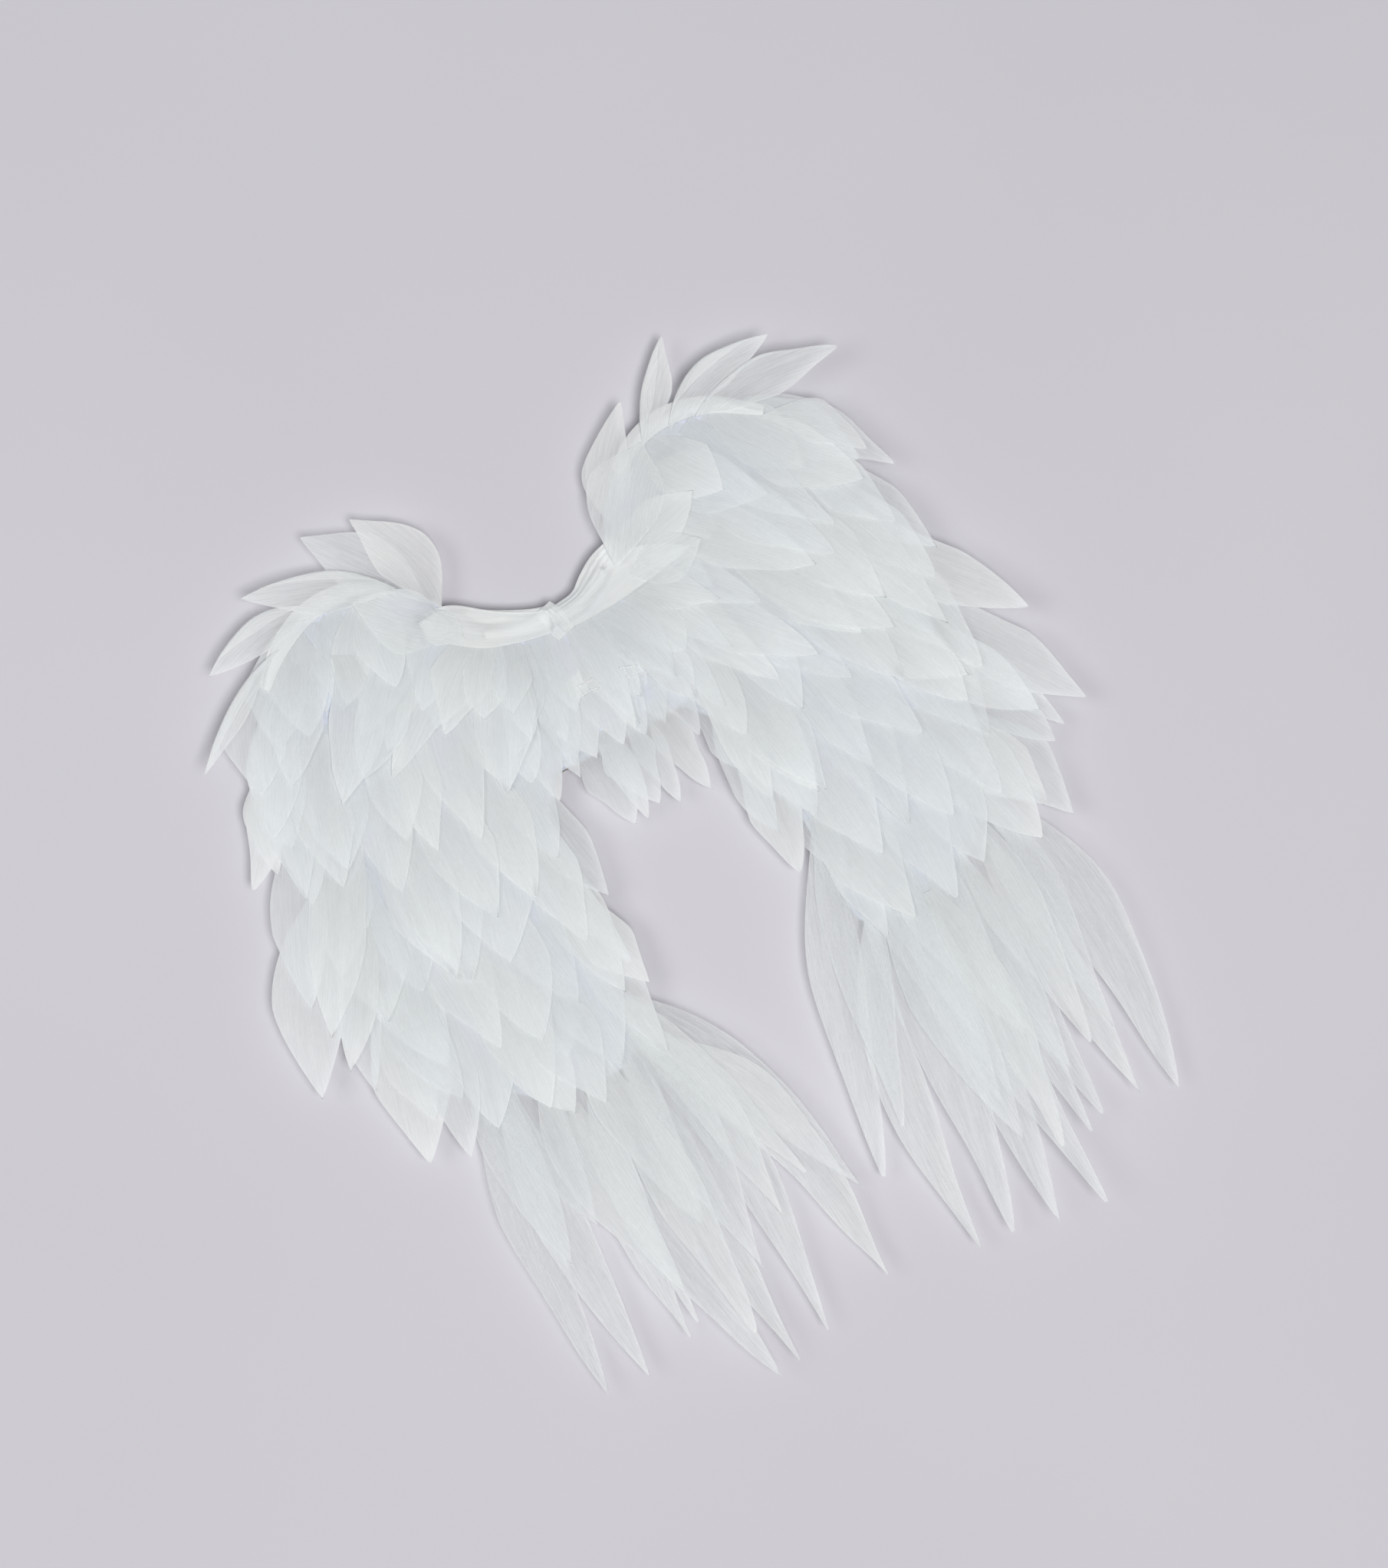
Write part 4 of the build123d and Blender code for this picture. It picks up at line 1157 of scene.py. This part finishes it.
# %% Wrapped wire, sleeves, tacks and whip stitches
wrapped, shader = material("wrapped_wire", Roughness=0.8, Sheen_Weight=0.3)
place = node(wrapped, "ShaderNodeTexCoord").outputs["Object"]
turns = node(wrapped, "ShaderNodeTexWave", {"Vector": place, "Scale": 260.0, "Distortion": 1.2},
             wave_type="BANDS", bands_direction="DIAGONAL").outputs["Fac"]
link(wrapped, ramp(wrapped, turns, (0.0, (0.70, 0.71, 0.72, 1)), (1.0, (0.88, 0.885, 0.88, 1))),
     shader.inputs["Base Color"])
bump = node(wrapped, "ShaderNodeBump", {"Height": turns, "Strength": 0.6, "Distance": 0.0003})
link(wrapped, bump.outputs[0], shader.inputs["Normal"])
brass, shader = material("crimped_sleeve", Metallic=1.0, Roughness=0.32)
place = node(brass, "ShaderNodeTexCoord").outputs["Object"]
wear = node(brass, "ShaderNodeTexNoise", {"Vector": place, "Scale": 420.0, "Detail": 4.0}).outputs["Fac"]
link(brass, ramp(brass, wear, (0.35, (0.52, 0.50, 0.46, 1)), (0.7, (0.74, 0.72, 0.66, 1))),
     shader.inputs["Base Color"])
for node_name, mat in (("yoke_wires", wrapped), ("left_wing_wire", wrapped), ("right_wing_wire", wrapped),
                       ("wire_sleeves", brass), ("strap_tacks", thread)):
    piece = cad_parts[node_name]
    piece.data.materials.clear()
    piece.data.materials.append(mat)


def whip_stitch(x, y, angle):
    """One thread loop under the wire, from felt to felt."""
    path = []
    for t in np.linspace(-0.15 * math.pi, 1.15 * math.pi, 11):
        reach, drop = 1.65 * MM * math.cos(t), 1.65 * MM * math.sin(t)
        path.append((x + reach * math.cos(angle), y + reach * math.sin(angle), max(1.55 * MM - drop, 0.02 * MM)))
    return tube(path, 0.22 * MM, 5)


for node_name, (name, body) in FELT_PLATES.items():
    if body == "yoke":
        spots = [(x * MM, 68.0 * MM, math.pi / 2) for x in (-12, 0, 12)]
    else:
        rim = rim_of(node_name, 3.2 * MM)
        ahead = np.roll(rim, -1, 0) - np.roll(rim, 1, 0)
        ahead /= np.linalg.norm(ahead, axis=1)[:, None]
        normal = np.stack([-ahead[:, 1], ahead[:, 0]], -1)
        area = 0.5 * np.sum(rim[:, 0] * np.roll(rim[:, 1], -1) - np.roll(rim[:, 0], -1) * rim[:, 1])
        normal *= 1 if area > 0 else -1
        spots = []
        for i in range(0, len(rim), 6):
            x, y = rim[i] + normal[i] * 5.0 * MM
            if abs(x) > 58 * MM:
                spots.append((x, y, math.atan2(normal[i][1], normal[i][0])))
    loops = join_parts(f"{body}_wire_stitches", [whip_stitch(*spot) for spot in spots], thread)
    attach(loops, body)
    print(loops.name, len(spots), "stitches")

# %% [markdown]
# ## Floor, light and camera
# White cloth needs quiet light. A large soft light hangs above and a little to one side, a second
# one fills from the far side, and the camera looks straight down from head height. The floor is
# pale and warm, so that the cool organza stays readable against it.

# %% Floor, light and camera
def backdrop():
    bpy.ops.mesh.primitive_plane_add(size=6, location=(0, 0, -0.014))
    floor = bpy.context.object
    floor.name = "floor"
    mat, shader = material("pale_floor", Roughness=0.85, Specular_IOR_Level=0.2)
    place = node(mat, "ShaderNodeTexCoord").outputs["Object"]
    cloud = node(mat, "ShaderNodeTexNoise", {"Vector": place, "Scale": 1.6, "Detail": 3.0}).outputs["Fac"]
    colour = ramp(mat, cloud, (0.3, (0.565, 0.552, 0.592, 1)), (0.7, (0.59, 0.577, 0.617, 1)))
    link(mat, colour, shader.inputs["Base Color"])
    floor.data.materials.append(mat)


def area_light(name, place, aim, size, power, color):
    data = bpy.data.lights.new(name, "AREA")
    data.shape, data.size, data.energy, data.color = "DISK", size, power, color
    lamp = bpy.data.objects.new(name, data)
    bpy.context.scene.collection.objects.link(lamp)
    lamp.location = place
    lamp.rotation_euler = (Vector(aim) - Vector(place)).to_track_quat("-Z", "Y").to_euler()


backdrop()
area_light("key_softbox", (0.45, -1.0, 4.6), (0.03, -0.07, 0), 1.7, 172, (1.0, 0.995, 0.985))
area_light("top_softbox", (-2.0, 1.1, 3.2), (0.0, 0, 0), 2.2, 50, (0.985, 0.995, 1.0))
world = bpy.data.worlds.new("soft_room")
world.use_nodes = True
world.node_tree.nodes["Background"].inputs["Color"].default_value = (0.95, 0.97, 1.0, 1)
world.node_tree.nodes["Background"].inputs["Strength"].default_value = 0.09
bpy.context.scene.world = world
bpy.context.scene.view_settings.view_transform = "Standard"
bpy.context.scene.cycles.transparent_max_bounces = 64
bpy.context.scene.cycles.max_bounces = 20
bpy.context.scene.cycles.diffuse_bounces = 12
bpy.context.scene.cycles.transmission_bounces = 16

lens = bpy.data.cameras.new("camera")
lens.sensor_fit, lens.sensor_width, lens.lens = "AUTO", 36, 86.2
camera = bpy.data.objects.new("camera", lens)
camera.location = (0.0288, -0.0702, 2.41)
camera.rotation_euler = (0, 0, math.radians(-28.5))
bpy.context.scene.collection.objects.link(camera)
bpy.context.scene.camera = camera
print("camera looks straight down from", round(camera.location.z, 2), "m")

# %% [markdown]
# ## Sizes
# The last step prints the flat size of every sheet that was sized on the way.

# %% Sizes
print("sheets:", flat_sizes)
